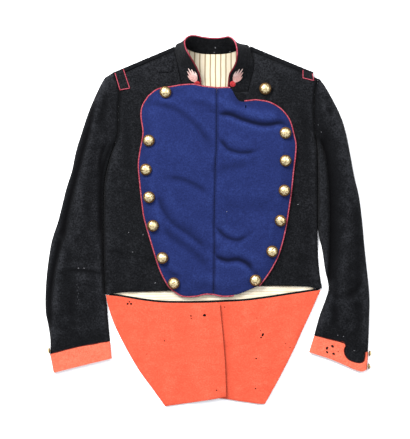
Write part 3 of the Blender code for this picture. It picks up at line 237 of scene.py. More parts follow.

# %% [markdown]
# ## Folds
# A fold is a row too: its path, how high it stands (or how deep it dips, below 0), and how wide
# it is on its left and right side, as seen along the path. A width that differs makes one
# flank steeper, as cloth that is pushed from one side has. Crisp folds have a sharper bottom.
# The last number says how much painted shade the fold's bottom gets: a darker colour
# standing for the shade that falls into it.

# %% Folds
Fold = namedtuple("Fold", "panel height left right crisp dark path")
FOLDS = (
    # The plastron's largest folds, on the wearer's left
    Fold("plastron", -5.2, 11, 3.6, 1.05, 0.9, ((18, 206), (42.5, 204), (65, 195), (95, 186),
                                               (117, 184.5), (139.5, 188), (153, 184))),
    Fold("plastron", 3.2, 14, 12, 2, 0, ((22, 222), (58, 218), (96, 203), (138, 202))),
    Fold("plastron", -2.6, 9, 3.6, 1.1, 0.6, ((18, 160), (29.5, 146), (39, 137), (57.5, 131),
                                             (76, 130.5), (94, 134))),
    Fold("plastron", 1.6, 12, 12, 2, 0, ((34, 168), (62, 150), (92, 147))),
    Fold("plastron", -1.3, 12, 12, 2, 0.25, ((16, 99), (48, 104), (80, 113))),
    Fold("plastron", -2.2, 7, 9, 1.3, 0.35, ((-80, 83), (-50.5, 79), (-21, 66), (-0.5, 53))),
    Fold("plastron", -2.4, 12, 6, 1.3, 0.35, ((-99, 49.5), (-88, 19.5), (-69, -6.5), (-35.5, -29),
                                             (-6, -54.5))),
    Fold("plastron", 1.8, 16, 13, 2, 0, ((-86, 56), (-62, 20), (-24, -6), (4, -30))),
    Fold("plastron", -1.7, 10, 10, 2, 0.3, ((-92, -14), (-60, -40), (-30, -62), (2, -92))),
    Fold("plastron", -2.4, 9, 4, 1.1, 0.55, ((12, -12), (28, -29), (42.5, -37), (59, -39),
                                            (78, -29))),
    Fold("plastron", 1.4, 10, 10, 2, 0, ((22, -6), (44, -22), (66, -24))),
    Fold("plastron", -4.6, 10, 4, 1.05, 0.85, ((11, -65), (18, -73), (35, -79), (57.5, -78),
                                              (76, -86.5), (86, -100))),
    Fold("plastron", 2.6, 13, 12, 2, 0, ((16, -52), (46, -60), (76, -68), (98, -86))),
    Fold("plastron", -1.9, 10, 8, 1.5, 0.3, ((-114, 228), (-69, 217), (-35.5, 195), (-9.5, 165),
                                            (4, 146))),
    Fold("plastron", 1.8, 14, 12, 2, 0, ((-96, 240), (-50, 214), (-14, 180))),
    Fold("plastron", -1.0, 8, 8, 1.6, 0.2, ((-40, 232), (-14, 226), (8, 220))),
    Fold("plastron", 1.2, 18, 18, 2, 0, ((-104, 150), (-60, 130), (-14, 112))),
    Fold("plastron", 1.4, 18, 18, 2, 0, ((36, 66), (80, 52), (128, 48))),
    Fold("plastron", -1.0, 15, 15, 2, 0.1, ((24, 34), (70, 24), (120, 26))),
    Fold("plastron", -1.8, 7, 10, 1.4, 0.4, ((-84, -98), (-66, -106), (-48, -112))),
    Fold("plastron", 1.2, 12, 12, 2, 0, ((-40, -104), (-10, -112), (30, -118))),
    # The wearer's right sleeve: a long ridge with a hollow outside it, and a second pair below
    Fold("right_sleeve", 3.8, 12, 16, 2, 0, ((-216, 246), (-229.5, 175), (-241, 101), (-249, 39),
                                            (-255, -39))),
    Fold("right_sleeve", -4.8, 6, 13, 1.3, 0.9, ((-222, 226), (-237.3, 160), (-259, 80),
                                                 (-276, 10), (-284, -39))),
    Fold("right_sleeve", -4.0, 5, 10, 1.3, 0.8, ((-286, -30), (-301, -96), (-308, -150),
                                                (-308, -206))),
    Fold("right_sleeve", 2.4, 8, 8, 2, 0, ((-280, -52), (-292, -112), (-297, -176))),
    Fold("right_sleeve", 2.6, 24, 24, 2, 0, ((-234, 30), (-240, -60), (-244, -150))),
    Fold("right_sleeve", -1.6, 3.5, 6, 1.2, 0.4, ((-282, -99), (-256, -97), (-230, -100),
                                                 (-208, -104))),
    Fold("right_sleeve", -1.6, 9, 12, 2, 0.2, ((-262, -126), (-266, -170), (-262, -214))),
    Fold("right_sleeve", -1.5, 8, 8, 1.6, 0.2, ((-196, 240), (-206, 214), (-212, 190))),
    Fold("right_sleeve", -3.6, 4, 6, 1.3, 0.8, ((-184, 158), (-193, 138), (-204, 104),
                                               (-208, 84))),
    Fold("right_sleeve", -3.6, 4, 4, 1.3, 0.7, ((-198, 150), (-206, 134), (-211, 112),
                                               (-212, 90))),
    # Painted shade where the sleeve lies in the gap beside the front's side
    Fold("right_sleeve", -2.0, 7, 9, 1.6, 0.97, ((-199, 124), (-208, 90), (-210.5, 50), (-210, 10),
                                                (-207, -34))),
    Fold("right_sleeve", -0.6, 3, 4, 1.6, 0.9, ((-206.5, 0), (-206, -68), (-203.5, -140))),
    # The wearer's left sleeve: a strip in the light, then one deep hollow from top to bottom
    Fold("left_sleeve", 1.2, 8, 7, 2, 0.2, ((214, 240), (215, 193), (216, 140), (222, 90),
                                           (224, 20), (226, -60))),
    Fold("left_sleeve", -6.4, 13, 4.5, 1.2, 0.95, ((213, 168), (225, 136), (230, 113),
                                                  (235.6, 50.6), (236.5, -31), (234.6, -93.7),
                                                  (232.6, -129))),
    Fold("left_sleeve", 4.0, 14, 20, 2, 0, ((236, 214), (262, 150), (280, 90), (278, 30),
                                           (262, -70), (247, -150))),
    Fold("left_sleeve", -2.2, 12, 10, 1.6, 0.3, ((284, 40), (290, -20), (292, -80), (288, -130))),
    Fold("left_sleeve", -2.8, 6, 10, 1.3, 0.5, ((300, -112), (285, -138), (262, -150))),
    Fold("left_sleeve", 2.4, 13, 13, 2, 0, ((256, -85), (266, -150), (270, -200))),
    Fold("left_sleeve", -1.8, 9, 9, 2, 0.3, ((238, -150), (244, -180), (246, -214))),
    Fold("left_sleeve", -1.6, 9, 9, 2, 0.2, ((288, -150), (292, -190), (290, -226))),
    Fold("left_sleeve", -1.4, 8, 8, 2, 0.2, ((226, 244), (236, 220), (242, 196))),
    # A wide band of painted shade beside the deep hollow
    Fold("left_sleeve", -1.6, 24, 4, 1.6, 0.8, ((216, 160), (228, 128), (235, 90), (238, 40),
                                               (239, -31), (237, -94), (234, -126))),
    # Shallow dips in the fronts
    Fold("fronts", -1.1, 3.5, 8, 1.2, 0.35, ((-201, -62), (-184, -60), (-160, -66))),
    Fold("fronts", -1.1, 12, 12, 2, 0.1, ((206, -72), (190, -74), (165, -70))),
    Fold("fronts", -1.2, 10, 14, 2, 0.1, ((-168, 200), (-158, 150), (-156, 90))),
    Fold("fronts", 1.0, 14, 14, 2, 0, ((-176, 60), (-166, 10), (-150, -40))),
    Fold("fronts", -1.2, 12, 12, 2, 0.1, ((188, 210), (190, 160), (192, 100))),
    Fold("fronts", 1.0, 14, 14, 2, 0, ((196, 60), (186, 0), (172, -60))),
    Fold("fronts", -1.0, 12, 12, 2, 0.1, ((-150, 300), (-136, 284), (-124, 268))),
    Fold("fronts", -1.0, 12, 12, 2, 0.1, ((160, 292), (146, 278), (134, 262))),
    # Painted shade along the side, where the sleeve lies close against it
    Fold("fronts", -0.2, 4, 4, 2, 0.75, ((-187, 135), (-200, 90), (-204, 40), (-204, -68),
                                        (-202, -140))),
)
print("folds:", len(FOLDS))

# %% [markdown]
# ## Lines and distances
# A Catmull-Rom line passes through all its points, which suits seams that were read off at a
# few places. The distance from every mesh point to a line is what shapes folds and rolled
# edges, so it works on whole arrays at once.

# %% Lines
def smooth(points, spacing):
    """A Catmull-Rom line through the points, read about every `spacing` mm."""
    p = np.array(points, float)
    if len(p) > 2:
        ends = np.vstack([2 * p[0] - p[1], p, 2 * p[-1] - p[-2]])
        line = [b + 0.5 * t * (c - a + t * (2 * a - 5 * b + 4 * c - d + t * (3 * (b - c) + d - a)))
                for a, b, c, d in zip(ends, ends[1:], ends[2:], ends[3:])
                for t in np.arange(0, 1, 0.08)]
        p = np.array(line + [p[-1]])
    along = np.concatenate([[0], np.cumsum(np.linalg.norm(np.diff(p, axis=0), axis=1))])
    at = np.linspace(0, along[-1], max(1, ceil(along[-1] / spacing)) + 1)
    return np.column_stack([np.interp(at, along, p[:, k]) for k in range(p.shape[1])])


def edge(name, spacing):
    """A named edge as a line of plan points."""
    return smooth(EDGES[name], spacing)


def beside(line, by):
    """A line moved to its left, seen along its own direction."""
    way = np.diff(line, axis=0)
    way /= np.linalg.norm(way, axis=1)[:, None]
    before, after = np.vstack([way[:1], way]), np.vstack([way, way[-1:]])
    both = before + after
    both /= np.linalg.norm(both, axis=1)[:, None]
    reach = by / np.clip(np.sum(both * after, axis=1), 0.6, 1)
    return line + reach[:, None] * np.column_stack([-both[:, 1], both[:, 0]])


def gap_between(a, b):
    """Distance between two plan points."""
    return float(np.hypot(a[0] - b[0], a[1] - b[1]))


def joined(*lines):
    """Lines put one after another, with a shared end kept once."""
    path = [tuple(p) for p in lines[0]]
    for line in lines[1:]:
        path += [tuple(p) for p in line if gap_between(path[-1], p) > 0.5]
    return np.array(path)


def ring(*lines):
    """Joins lines end to end into one anticlockwise ring of plan points."""
    first, second = lines[0], lines[1]
    if min(gap_between(first[0], p) for p in (second[0], second[-1])) < min(
            gap_between(first[-1], p) for p in (second[0], second[-1])):
        first = first[::-1]
    points = [tuple(p) for p in first]
    for line in lines[1:]:
        if gap_between(points[-1], line[-1]) < gap_between(points[-1], line[0]):
            line = line[::-1]
        skip = 1 if gap_between(points[-1], line[0]) < 0.4 else 0
        points += [tuple(p) for p in line[skip:]]
    if gap_between(points[0], points[-1]) < 0.4:
        points.pop()
    p = np.array(points)
    q = np.roll(p, -1, axis=0)
    turning = np.sum(p[:, 0] * q[:, 1] - q[:, 0] * p[:, 1])
    return points if turning > 0 else points[::-1]


# %% Distances
def signed_distance(x, y, line):
    """Plan distance from each (x, y) to a line, above 0 on the line's left side."""
    best = np.full(np.shape(x), 1e9)
    side = np.ones(np.shape(x))
    for (ax, ay), (bx, by) in zip(line[:-1], line[1:]):
        dx, dy = bx - ax, by - ay
        t = np.clip(((x - ax) * dx + (y - ay) * dy) / (dx * dx + dy * dy + 1e-12), 0, 1)
        away = np.hypot(x - ax - t * dx, y - ay - t * dy)
        closer = away < best
        best = np.where(closer, away, best)
        side = np.where(closer, np.sign(dx * (y - ay) - dy * (x - ax)), side)
    return best * side


def distance(x, y, line):
    """Plan distance from each (x, y) to a line, on either side of it."""
    return np.abs(signed_distance(x, y, line))


LINES = {name: edge(name, 6.0) for name in EDGES}


def nearest(x, y, names):
    """Plan distance to the nearest of several named edges."""
    return np.min([distance(x, y, LINES[name]) for name in names], axis=0)


def inside(x, y, outline):
    """True where (x, y) is inside the closed outline."""
    hit = np.zeros(np.shape(x), bool)
    for (ax, ay), (bx, by) in zip(outline, outline[1:] + outline[:1]):
        crosses = (ay > y) != (by > y)
        hit ^= crosses & (x < (bx - ax) * (y - ay) / (by - ay + 1e-12) + ax)
    return hit


# %% [markdown]
# ## How high the cloth lies
# Each layer lies on the one below it. The fronts lie on the back, with the chest a little
# higher than the hems; a sleeve is a flattened tube; the plastron lies on the fronts and
# bellies up between its edges. All of these are height functions of the plan position, so a
# piece that lies on another one simply adds its own thickness to the same function.

# %% Heights of the coat
FRONT_FLAT = 7.2         # mm, top of the fronts near their hems
CHEST_RISE = 3.0
NECK_RISE = 2.5
SEAM_HEIGHT = 9.6        # along armhole and shoulder seams
SLEEVE_HEIGHT = 11.5
CUFF_INSIDE = 5.2        # a sleeve pressed flat inside its cuff
CUFF_HEIGHT = 6.8
PLASTRON_LOFT = 4.2
EDGE_ROLL = 9.0          # plan width of the turn at a folded edge
SHOULDER_ROLL = 4.9
LAYER_GAP = 0.8
SEAM_GAP = 0.3
WOOL = 2.0
FRONT_WALL = 2.4
PLASTRON_WALL = 2.2
LINING = 1.0
RED_CLOTH = 1.2
COLLAR_WALL = 3.0
TRIM_WALL = 1.2
TAIL_LIFT = 4.8
STRIP_WIDTH = 3.4
UNDER_INSET = 7.0
TUCK_INSET = 4.6
CONTACT_ENDS = {"right": -192.0, "left": -64.0}   # y where a sleeve stands on the table again
FOLD_LINES = [(fold, smooth(fold.path, 5.0)) for fold in FOLDS]
CUFF_AREAS = {side: ring(LINES[side + "_cuff_top"], LINES[side + "_cuff_mouth"])
              for side in ("right", "left")}


def ease(t):
    """0 below 0, 1 above 1, and a smooth rise between."""
    t = np.clip(t, 0, 1)
    return t * t * (3 - 2 * t)


def turn(away, width):
    """Height share of a folded edge, `away` mm in from its outermost line."""
    t = 1 - np.clip(away / width, 0, 1)
    return np.sqrt(np.clip(1 - t * t, 0, 1))


def across_fold(x, y, fold, line):
    """Distance from a fold in widths of its own side, and how strong it is at that place."""
    across = signed_distance(x, y, line)
    ends = np.minimum(np.hypot(x - line[0][0], y - line[0][1]),
                      np.hypot(x - line[-1][0], y - line[-1][1]))
    return (np.abs(across) / np.where(across > 0, fold.left, fold.right),
            0.3 + 0.7 * ease((ends + 2) / 20))


def folds(x, y, panel):
    """Height that a panel's ridges and troughs add, fading at their ends."""
    total = np.zeros(np.shape(x))
    for fold, line in FOLD_LINES:
        if fold.panel == panel:
            away, strength = across_fold(x, y, fold, line)
            total += fold.height * np.exp(-away ** fold.crisp) * strength
    return total


# Painted shade along seams, and the painted shadow of the right tail's edge on the left tail
ARMHOLES = (("right_armhole", 2.0, 0.8), ("left_armhole", 2.6, 0.9))   # seam, mm wide, how dark
SEAM_SHADE = {"fronts": ARMHOLES, "right_sleeve": ARMHOLES, "left_sleeve": ARMHOLES,
              "plastron": (("plastron_centre", 1.0, 0.5),),
              "left_tail": (("tail_overlap", 12.0, 0.35),)}
SHADE_WIDTH = 0.68       # of a fold's own width that gets painted shade
CRISP = 1.25             # folds sharper than this get their own rows of points
CREASE_ROWS = (0.0, 1.5, -1.5, 3.2, -3.2)   # mm to either side of the fold's bottom
WAVES = 9                # in a patch of soft unevenness


def painted_shade(x, y, panel):
    """From 0 to 1, how much painted shade a panel gets in its folds' bottoms and along seams."""
    most = np.zeros(np.shape(x))
    for fold, line in FOLD_LINES:
        if fold.panel == panel and fold.dark > 0:
            away, strength = across_fold(x, y, fold, line)
            most = np.maximum(most, fold.dark * np.exp(-(away / SHADE_WIDTH) ** 2) * strength)
    for seam, wide, dark in SEAM_SHADE.get(panel, ()):
        most = np.maximum(most, dark * np.exp(-(distance(x, y, LINES[seam]) / wide) ** 2))
    return most


def crease_rows(panel):
    """Rows of net points along a panel's crisp folds, so that they stay sharp."""
    return [p for fold, line in FOLD_LINES if fold.panel == panel and fold.crisp < CRISP
            for by in CREASE_ROWS for p in beside(smooth(line, 1.8), by)]


def uneven(x, y, size, height, seed):
    """Soft unevenness: a few waves about `size` mm long, in directions drawn from the seed."""
    draw = np.random.default_rng(seed)
    total = np.zeros(np.shape(x))
    for _ in range(WAVES):
        angle, phase = draw.uniform(0, 2 * pi), draw.uniform(0, 2 * pi)
        stretch = draw.uniform(0.7, 1.5)
        total += np.sin(2 * pi * (x * cos(angle) + y * sin(angle)) / (size * stretch) + phase)
    return total * height / 3


def seam_dip(x, y, names, depth, width):
    """The dip that stitching pulls into the cloth on both sides of a seam."""
    return -depth * np.exp(-nearest(x, y, names) / width)


# %% Heights of single panels
def torso(x, y):
    """Top of the fronts, read on under the plastron and across the neck too."""
    chest = CHEST_RISE * np.exp(-((x - 10) / 150) ** 2 - ((y - 90) / 130) ** 2)
    neck = NECK_RISE * (np.exp(-((x + 72) / 30) ** 2 - ((y - 296) / 30) ** 2)
                        + np.exp(-((x - 97) / 30) ** 2 - ((y - 296) / 30) ** 2))
    high = FRONT_FLAT + (SEAM_HEIGHT - FRONT_FLAT) * ease((y + 90) / 220) + chest + neck
    seam = nearest(x, y, ("right_armhole", "left_armhole"))
    return SEAM_HEIGHT + (high - SEAM_HEIGHT) * ease(seam / 40)


def rolled_down(high, x, y, names):
    """A height that turns down along rolled edges: to the table, or onto the back where that
    reaches out under them, which it does where a sleeve lies close against the side."""
    on_back = np.max([ease((y - low) / 22) * (distance(x, y, LINES[side + "_side"]) < 14)
                      for side, low in CONTACT_ENDS.items()], axis=0)
    foot = (WOOL + SEAM_GAP) * on_back
    return foot + (high - foot) * turn(nearest(x, y, names), EDGE_ROLL)


def front_top(x, y):
    """Top of a front with its shallow folds, turned down along its side."""
    seams = ("right_armhole", "left_armhole", "right_shoulder_seam", "left_shoulder_seam")
    away = nearest(x, y, seams)
    high = torso(x, y) + (folds(x, y, "fronts") + uneven(x, y, 46, 0.35, 3)) * ease(away / 25)
    high = high + seam_dip(x, y, seams, 1.0, 2.5)
    return rolled_down(high, x, y, ("right_side", "left_side"))


def shoulder_way(name):
    """The plan direction that leads out over a shoulder's fold line, one unit long."""
    (ax, ay), (bx, by) = EDGES[name]
    side = -1 if name.startswith("right") else 1
    out = np.array((side * (ay - by), side * (bx - ax)), float)
    return out / np.linalg.norm(out)


def past_line(x, y, name):
    """How far (x, y) lies outside a shoulder's fold line."""
    ax, ay = EDGES[name][0]
    out = shoulder_way(name)
    return (x - ax) * out[0] + (y - ay) * out[1]


def shoulder_top(x, y):
    """Top of the cloth by the shoulders, down over the turned edge of the back."""
    share = np.ones(np.shape(x))
    for side, name in ((-1, "right_shoulder_fold"), (1, "left_shoulder_fold")):
        away = SHOULDER_ROLL - past_line(x, y, name)
        share = np.where(side * x > 60, turn(away, SHOULDER_ROLL), share)
    return torso(x, y) * (0.5 + 0.5 * share)


PLASTRON_EDGES = ["plastron_" + part for part in PLASTRON_PARTS]


def plastron_top(x, y):
    """Top of the plastron: on the fronts at its edges, bellied and folded between."""
    away = nearest(x, y, PLASTRON_EDGES)
    loft = PLASTRON_LOFT * ease(away / 30) + folds(x, y, "plastron") * ease((away + 6) / 22)
    loft = loft + uneven(x, y, 60, 0.35, 11) * ease(away / 15)
    loft = loft + seam_dip(x, y, ("plastron_centre",), 0.9, 2.0)
    return torso(x, y) + LAYER_GAP + 0.5 * (loft + np.sqrt(loft ** 2 + 1.4)) + PLASTRON_WALL


def sleeve_top(side):
    """Top of one sleeve: full between its folds, pressed flat in the cuff."""
    rolled = [side + "_sleeve_" + part for part in ("back", "front", "head")]

    def top(x, y):
        """The sleeve's height at plan places."""
        seam = distance(x, y, LINES[side + "_armhole"])
        fold = folds(x, y, side + "_sleeve") + uneven(x, y, 34, 0.45, 5 if side == "left" else 6)
        high = SEAM_HEIGHT + (SLEEVE_HEIGHT - SEAM_HEIGHT) * ease(seam / 40)
        high = high + fold * ease(seam / 26) - 1.0 * np.exp(-seam / 2.5)
        mouth = ease(distance(x, y, LINES[side + "_cuff_top"]) / 40)
        mouth = np.where(inside(x, y, CUFF_AREAS[side]), 0, mouth)
        high = CUFF_INSIDE + (high - CUFF_INSIDE) * mouth
        return rolled_down(high, x, y, rolled)
    return top


def tail_lift(x, y):
    """How much the right tail climbs where it lies over the left one."""
    hidden = np.interp(y, (-346, -250, -164), (11, 6, 2))
    return TAIL_LIFT * ease((x - hidden + 64) / 60)


def level(height):
    """A flat surface at one height."""
    return lambda x, y: np.full(np.shape(x), float(height))


# %% [markdown]
# ## Cutting a piece of cloth
# A piece is meshed as it is cut: its outline, and any moth hole, are fixed edges, and the
# inside is filled with an even net of triangles by a constrained Delaunay triangulation. That
# keeps the triangles equal in size whatever the outline, which a stretched grid would not.
# The net then gets its height, a second side one cloth thickness below, and a rim that joins
# the two. Extra rows of points follow the rim and the rolled edges, so that both read round.

# %% Cut
NET = 3.2                # mm between net points on what shows
ROLL_ROWS = (0.45, 1.3, 2.6, 4.3, 6.4)
CELL = 2.2               # mm, side of the squares that keep the net off the extra rows


def cut_out(outline, spacing, rows, holes):
    """Triangles of a plan outline with its holes left open: (points, faces)."""
    loops = [outline] + [list(hole) for hole in holes]
    rim = [p for loop in loops for p in loop]
    low, high = np.min(rim, axis=0), np.max(rim, axis=0)
    lines = np.arange(low[1] + spacing / 2, high[1], spacing * sin(pi / 3))
    across = np.arange(low[0], high[0], spacing)
    grid = np.array([(x + (k % 2) * spacing / 2, y) for k, y in enumerate(lines) for x in across])
    kept = []
    for group, room in ((rows, 0.3), (grid, 0.62 * spacing)):
        if len(group):
            g = np.array(group)
            good = inside(g[:, 0], g[:, 1], outline)
            g = g[good]
            good = np.ones(len(g), bool)
            for loop in loops:
                good &= distance(g[:, 0], g[:, 1], loop + loop[:1]) > room
            for loop in loops[1:]:
                good &= ~inside(g[:, 0], g[:, 1], loop)
            kept.append(g[good])
    if len(kept) == 2:
        cells = {(int(px // CELL), int(py // CELL)) for px, py in kept[0]}
        free = [not any((int(px // CELL) + i, int(py // CELL) + j) in cells
                        for i in (-1, 0, 1) for j in (-1, 0, 1)) for px, py in kept[1]]
        kept[1] = kept[1][free]
    points = [Vector(p) for p in rim] + [Vector(p) for group in kept for p in group]
    sides, start = [], 0
    for loop in loops:
        sides += [(start + k, start + (k + 1) % len(loop)) for k in range(len(loop))]
        start += len(loop)
    out, _, faces, *_ = delaunay_2d_cdt(points, sides, [], 0, 1e-5)
    flat = np.array([tuple(v) for v in out])
    centres = np.array([flat[list(f)].mean(0) for f in faces])
    good = inside(centres[:, 0], centres[:, 1], outline)
    for loop in loops[1:]:
        good &= ~inside(centres[:, 0], centres[:, 1], loop)
    return flat, [tuple(f) for f, keep in zip(faces, good) if keep]


def rim_of(faces):
    """The directed edges that only one face has, as {start: end}."""
    sides = {(a, b) for face in faces for a, b in zip(face, face[1:] + face[:1])}
    return {a: b for a, b in sides if (b, a) not in sides}


def point_normals(points, faces):
    """Unit normals of a mesh's points."""
    f = np.array(faces)
    face_normals = np.cross(points[f[:, 1]] - points[f[:, 0]], points[f[:, 2]] - points[f[:, 0]])
    total = np.zeros_like(points)
    for k in range(3):
        np.add.at(total, f[:, k], face_normals)
    return total / (np.linalg.norm(total, axis=1)[:, None] + 1e-12)


def relief(points, faces, rounds=18):
    """How far each point stands above the cloth around it, in mm."""
    f = np.array(faces)
    pairs = np.vstack([f[:, [0, 1]], f[:, [1, 2]], f[:, [2, 0]], f[:, [1, 0]], f[:, [2, 1]],
                       f[:, [0, 2]]])
    count = np.maximum(np.bincount(pairs[:, 0], minlength=len(points)), 1)
    level_of = points[:, 2].copy()
    for _ in range(rounds):
        around = np.bincount(pairs[:, 0], weights=level_of[pairs[:, 1]], minlength=len(points))
        level_of = 0.4 * level_of + 0.6 * around / count
    return points[:, 2] - level_of


# %% Make an object
def add(name, points, faces, look, sharp=50, worn=None):
    """A smooth mesh object from points in millimetres, with an optional value a point for wear and
    painted shade.
    """
    mesh = bpy.data.meshes.new(name)
    mesh.from_pydata([tuple(p) for p in np.array(points) * MM], [], faces)
    mesh.validate()
    mesh.shade_smooth()
    mesh.set_sharp_from_angle(angle=radians(sharp))
    if worn is not None:
        wear = mesh.attributes.new("worn", "FLOAT", "POINT")
        wear.data.foreach_set("value", np.array(worn, dtype=np.float32))
    mesh.materials.append(look)
    thing = bpy.data.objects.new(name, mesh)
    bpy.context.scene.collection.objects.link(thing)
    return thing


def cloth(name, outline, top, wall, look, spacing=NET, rolled=(), holes=(), bend=None,
          round_edge=0.45, panel=None):
    """One cut piece: a wall under the surface `top`, turned to the table on `rolled` edges.

    The value it gives each point for the cloth's tone is high on ridges and low in hollows, partly
    wear and partly painted light and shade, a little higher above y 225 mm, and lowest where the
    panel's folds and seams get painted shade.
    """
    rows = [p for edge_name in rolled for inset in ROLL_ROWS for side in (1, -1)
            for p in beside(edge(edge_name, spacing), side * inset)] + crease_rows(panel)
    closed = np.array(outline + outline[:2])
    rows += list(beside(closed, 0.75)[1:-1])
    flat, faces = cut_out(outline, spacing, rows, holes)
    x, y = flat[:, 0], flat[:, 1]
    high = top(x, y)
    over = np.column_stack([x, y, high])
    normal = point_normals(over, faces)
    under = over - wall * normal
    ahead = rim_of(faces)
    behind = {b: a for a, b in ahead.items()}
    rim = np.array(sorted(ahead))
    away = nearest(x[rim], y[rim], rolled) if len(rolled) else np.full(len(rim), 99.0)
    at_floor = dict(zip(rim.tolist(), (away < 0.3).tolist()))
    foot = dict(zip(rim.tolist(), rolled_down(0.0 * away, x[rim], y[rim], rolled).tolist()
                    if len(rolled) else away.tolist()))
    for k in rim.tolist():
        if at_floor[k]:
            along = flat[ahead[k]] - flat[behind[k]]
            along /= np.linalg.norm(along)
            alone = not (at_floor[ahead[k]] or at_floor[behind[k]])
            inward = 0.5 * wall if alone else wall
            over[k, 2] = foot[k]
            under[k] = (x[k] - inward * along[1], y[k] + inward * along[0], foot[k])
        else:
            under[k] = over[k] - (0, 0, wall * (1 - 0.3 * round_edge))
            over[k, 2] -= wall * 0.6 * round_edge
    count = len(flat)
    if bend is not None:
        over, under = bend(over), bend(under)
    points = np.vstack([over, under])
    sides = [(b, a, a + count, b + count) for a, b in ahead.items()]
    lower = [(c + count, b + count, a + count) for a, b, c in faces]
    # Ridges lighter and hollows darker: wear with painted light and shade; the fold and seam factor
    # is painted shade
    worn = 0.5 + np.clip(relief(np.column_stack([x, y, high]), faces) / 5, -0.2, 0.3)
    worn = (worn + 0.16 * ease((y - 225) / 70)) * (1 - painted_shade(x, y, panel))
    thing = add(name, points, [list(f) for f in faces] + lower + sides, look,
                worn=np.concatenate([worn, np.full(count, 0.4)]))
    return thing


made = {}                # every piece of the coat by name, in the order of making


def stands_for(piece, packed):
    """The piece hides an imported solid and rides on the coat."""
    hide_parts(packed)
    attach(piece, "root")
    made[piece.name] = piece


def trim(piece):
    """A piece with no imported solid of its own, such as a row of stitches."""
    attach(piece, "root")
    made[piece.name] = piece


def skin(rings, close=False):
    """Faces between each ring of point numbers and the next."""
    faces = []
    for one, two in zip(rings, rings[1:] + rings[:1] if close else rings[1:]):
        for k in range(len(one)):
            nxt = (k + 1) % len(one)
            faces.append((one[k], one[nxt], two[nxt], two[k]))
    return faces


def cord(name, path, radius, look, sides=10, twist=0.0):
    """A round cord along (x, y, z) points, closed at both ends."""
    p = np.array(path, float)
    way = np.gradient(p, axis=0)
    way /= np.linalg.norm(way, axis=1)[:, None]
    across = np.cross(way, (0, 0, 1))
    across /= np.linalg.norm(across, axis=1)[:, None]
    rise = np.cross(across, way)
    points, worn = [], []
    for k in range(len(p)):
        for j in range(sides):
            a = 2 * pi * j / sides
            r = radius * (1 + twist * sin(3 * a + 1.9 * k))
            points.append(p[k] + r * (cos(a) * across[k] + sin(a) * rise[k]))
            # Lighter on the cord's top and darker down its sides: painted light and painted shade
            worn.append(0.12 + 0.55 * max(sin(a), 0))
    rings = [list(range(k * sides, (k + 1) * sides)) for k in range(len(p))]
    faces = skin(rings) + [rings[0][::-1], rings[-1]]
    faces = [tuple(reversed(f)) for f in faces]
    return add(name, points, faces, look, worn=worn)


# %% [markdown]
# ## Wool, and how it is finished
# The coat is fulled wool: woven, then felted in the wash until the weave hardly shows, and
# brushed. So the eye sees a matt surface with a short nap and soft patches of fading.
# What stands high is drawn lighter, partly as wear and partly as painted light, and the hollows
# and fold bottoms darker, as painted shade. Fibres are some 0.02 mm thick and far too fine for
# the picture, so they are drawn as a grain of about 3 mm, and a weak sheen stands for the light
# that the nap catches at its edges. The lamps are strong, to make the table white, so the cloth
# colours are picked darker than they look.

# %% Woollen cloth
def wool(name, deep, middle, faded, grain=3.0, patch=40.0, bump=0.6, mottling=1.0, sheen=0.03):
    """Fulled wool: fading patches, a fine nap, wear and painted light up high, painted shade in
    hollows.
    """
    look, tree, shader = new_material(name)
    spot = node(tree, "ShaderNodeTexCoord").outputs["Object"]
    fading = node(tree, "ShaderNodeTexNoise", [("Vector", spot), ("Scale", 1000 / patch),
                                               ("Detail", 3.0), ("Roughness", 0.6)])
    mottle = node(tree, "ShaderNodeTexNoise", [("Vector", spot), ("Scale", 1000 / (3.0 * grain)),
                                               ("Detail", 2.0), ("Roughness", 0.55)])
    nap = node(tree, "ShaderNodeTexNoise", [("Vector", spot), ("Scale", 1000 / grain),
                                            ("Detail", 3.0), ("Roughness", 0.75)])
    worn = node(tree, "ShaderNodeAttribute", attribute_name="worn")
    parts = []
    for pattern, much in ((fading, 0.13), (mottle, 0.14), (nap, 0.7)):
        parts.append(node(tree, "ShaderNodeMapRange", [
            ("Value", pattern.outputs["Fac"]), ("From Min", 0.3), ("From Max", 0.7),
            ("To Min", -much * mottling), ("To Max", much * mottling)]).outputs[0])
    soft = node(tree, "ShaderNodeMath", [(0, parts[0]), (1, parts[1])])
    fine = node(tree, "ShaderNodeMath", [(0, soft.outputs[0]), (1, parts[2])])
    height = node(tree, "ShaderNodeMath", [(0, fine.outputs[0]), (1, worn.outputs["Fac"]),
                                           (2, worn.outputs["Fac"])], operation="MULTIPLY_ADD")
    # deep is painted shade in hollows and folds; faded is wear together with painted light on high
    # places
    low = node(tree, "ShaderNodeMapRange", [("Value", height.outputs[0]), ("From Min", 0.0),
                                            ("From Max", 0.5)])
    high = node(tree, "ShaderNodeMapRange", [("Value", height.outputs[0]), ("From Min", 0.5),
                                             ("From Max", 1.1)])
    ground = node(tree, "ShaderNodeMix", [("Factor", low.outputs["Result"]), (6, srgb(deep)),
                                          (7, srgb(middle))], data_type="RGBA")
    tone = node(tree, "ShaderNodeMix", [("Factor", high.outputs["Result"]),
                                        (6, ground.outputs[2]), (7, srgb(faded))],
                data_type="RGBA")
    raised = node(tree, "ShaderNodeBump", [("Height", fine.outputs[0]), ("Strength", bump),
                                           ("Distance", 0.0012)])
    tree.links.new(tone.outputs[2], shader.inputs["Base Color"])
    tree.links.new(raised.outputs["Normal"], shader.inputs["Normal"])
    shader.inputs["Roughness"].default_value = 0.95
    shader.inputs["Specular IOR Level"].default_value = 0.04
    shader.inputs["Sheen Weight"].default_value = sheen
    shader.inputs["Sheen Roughness"].default_value = 0.5
    return look


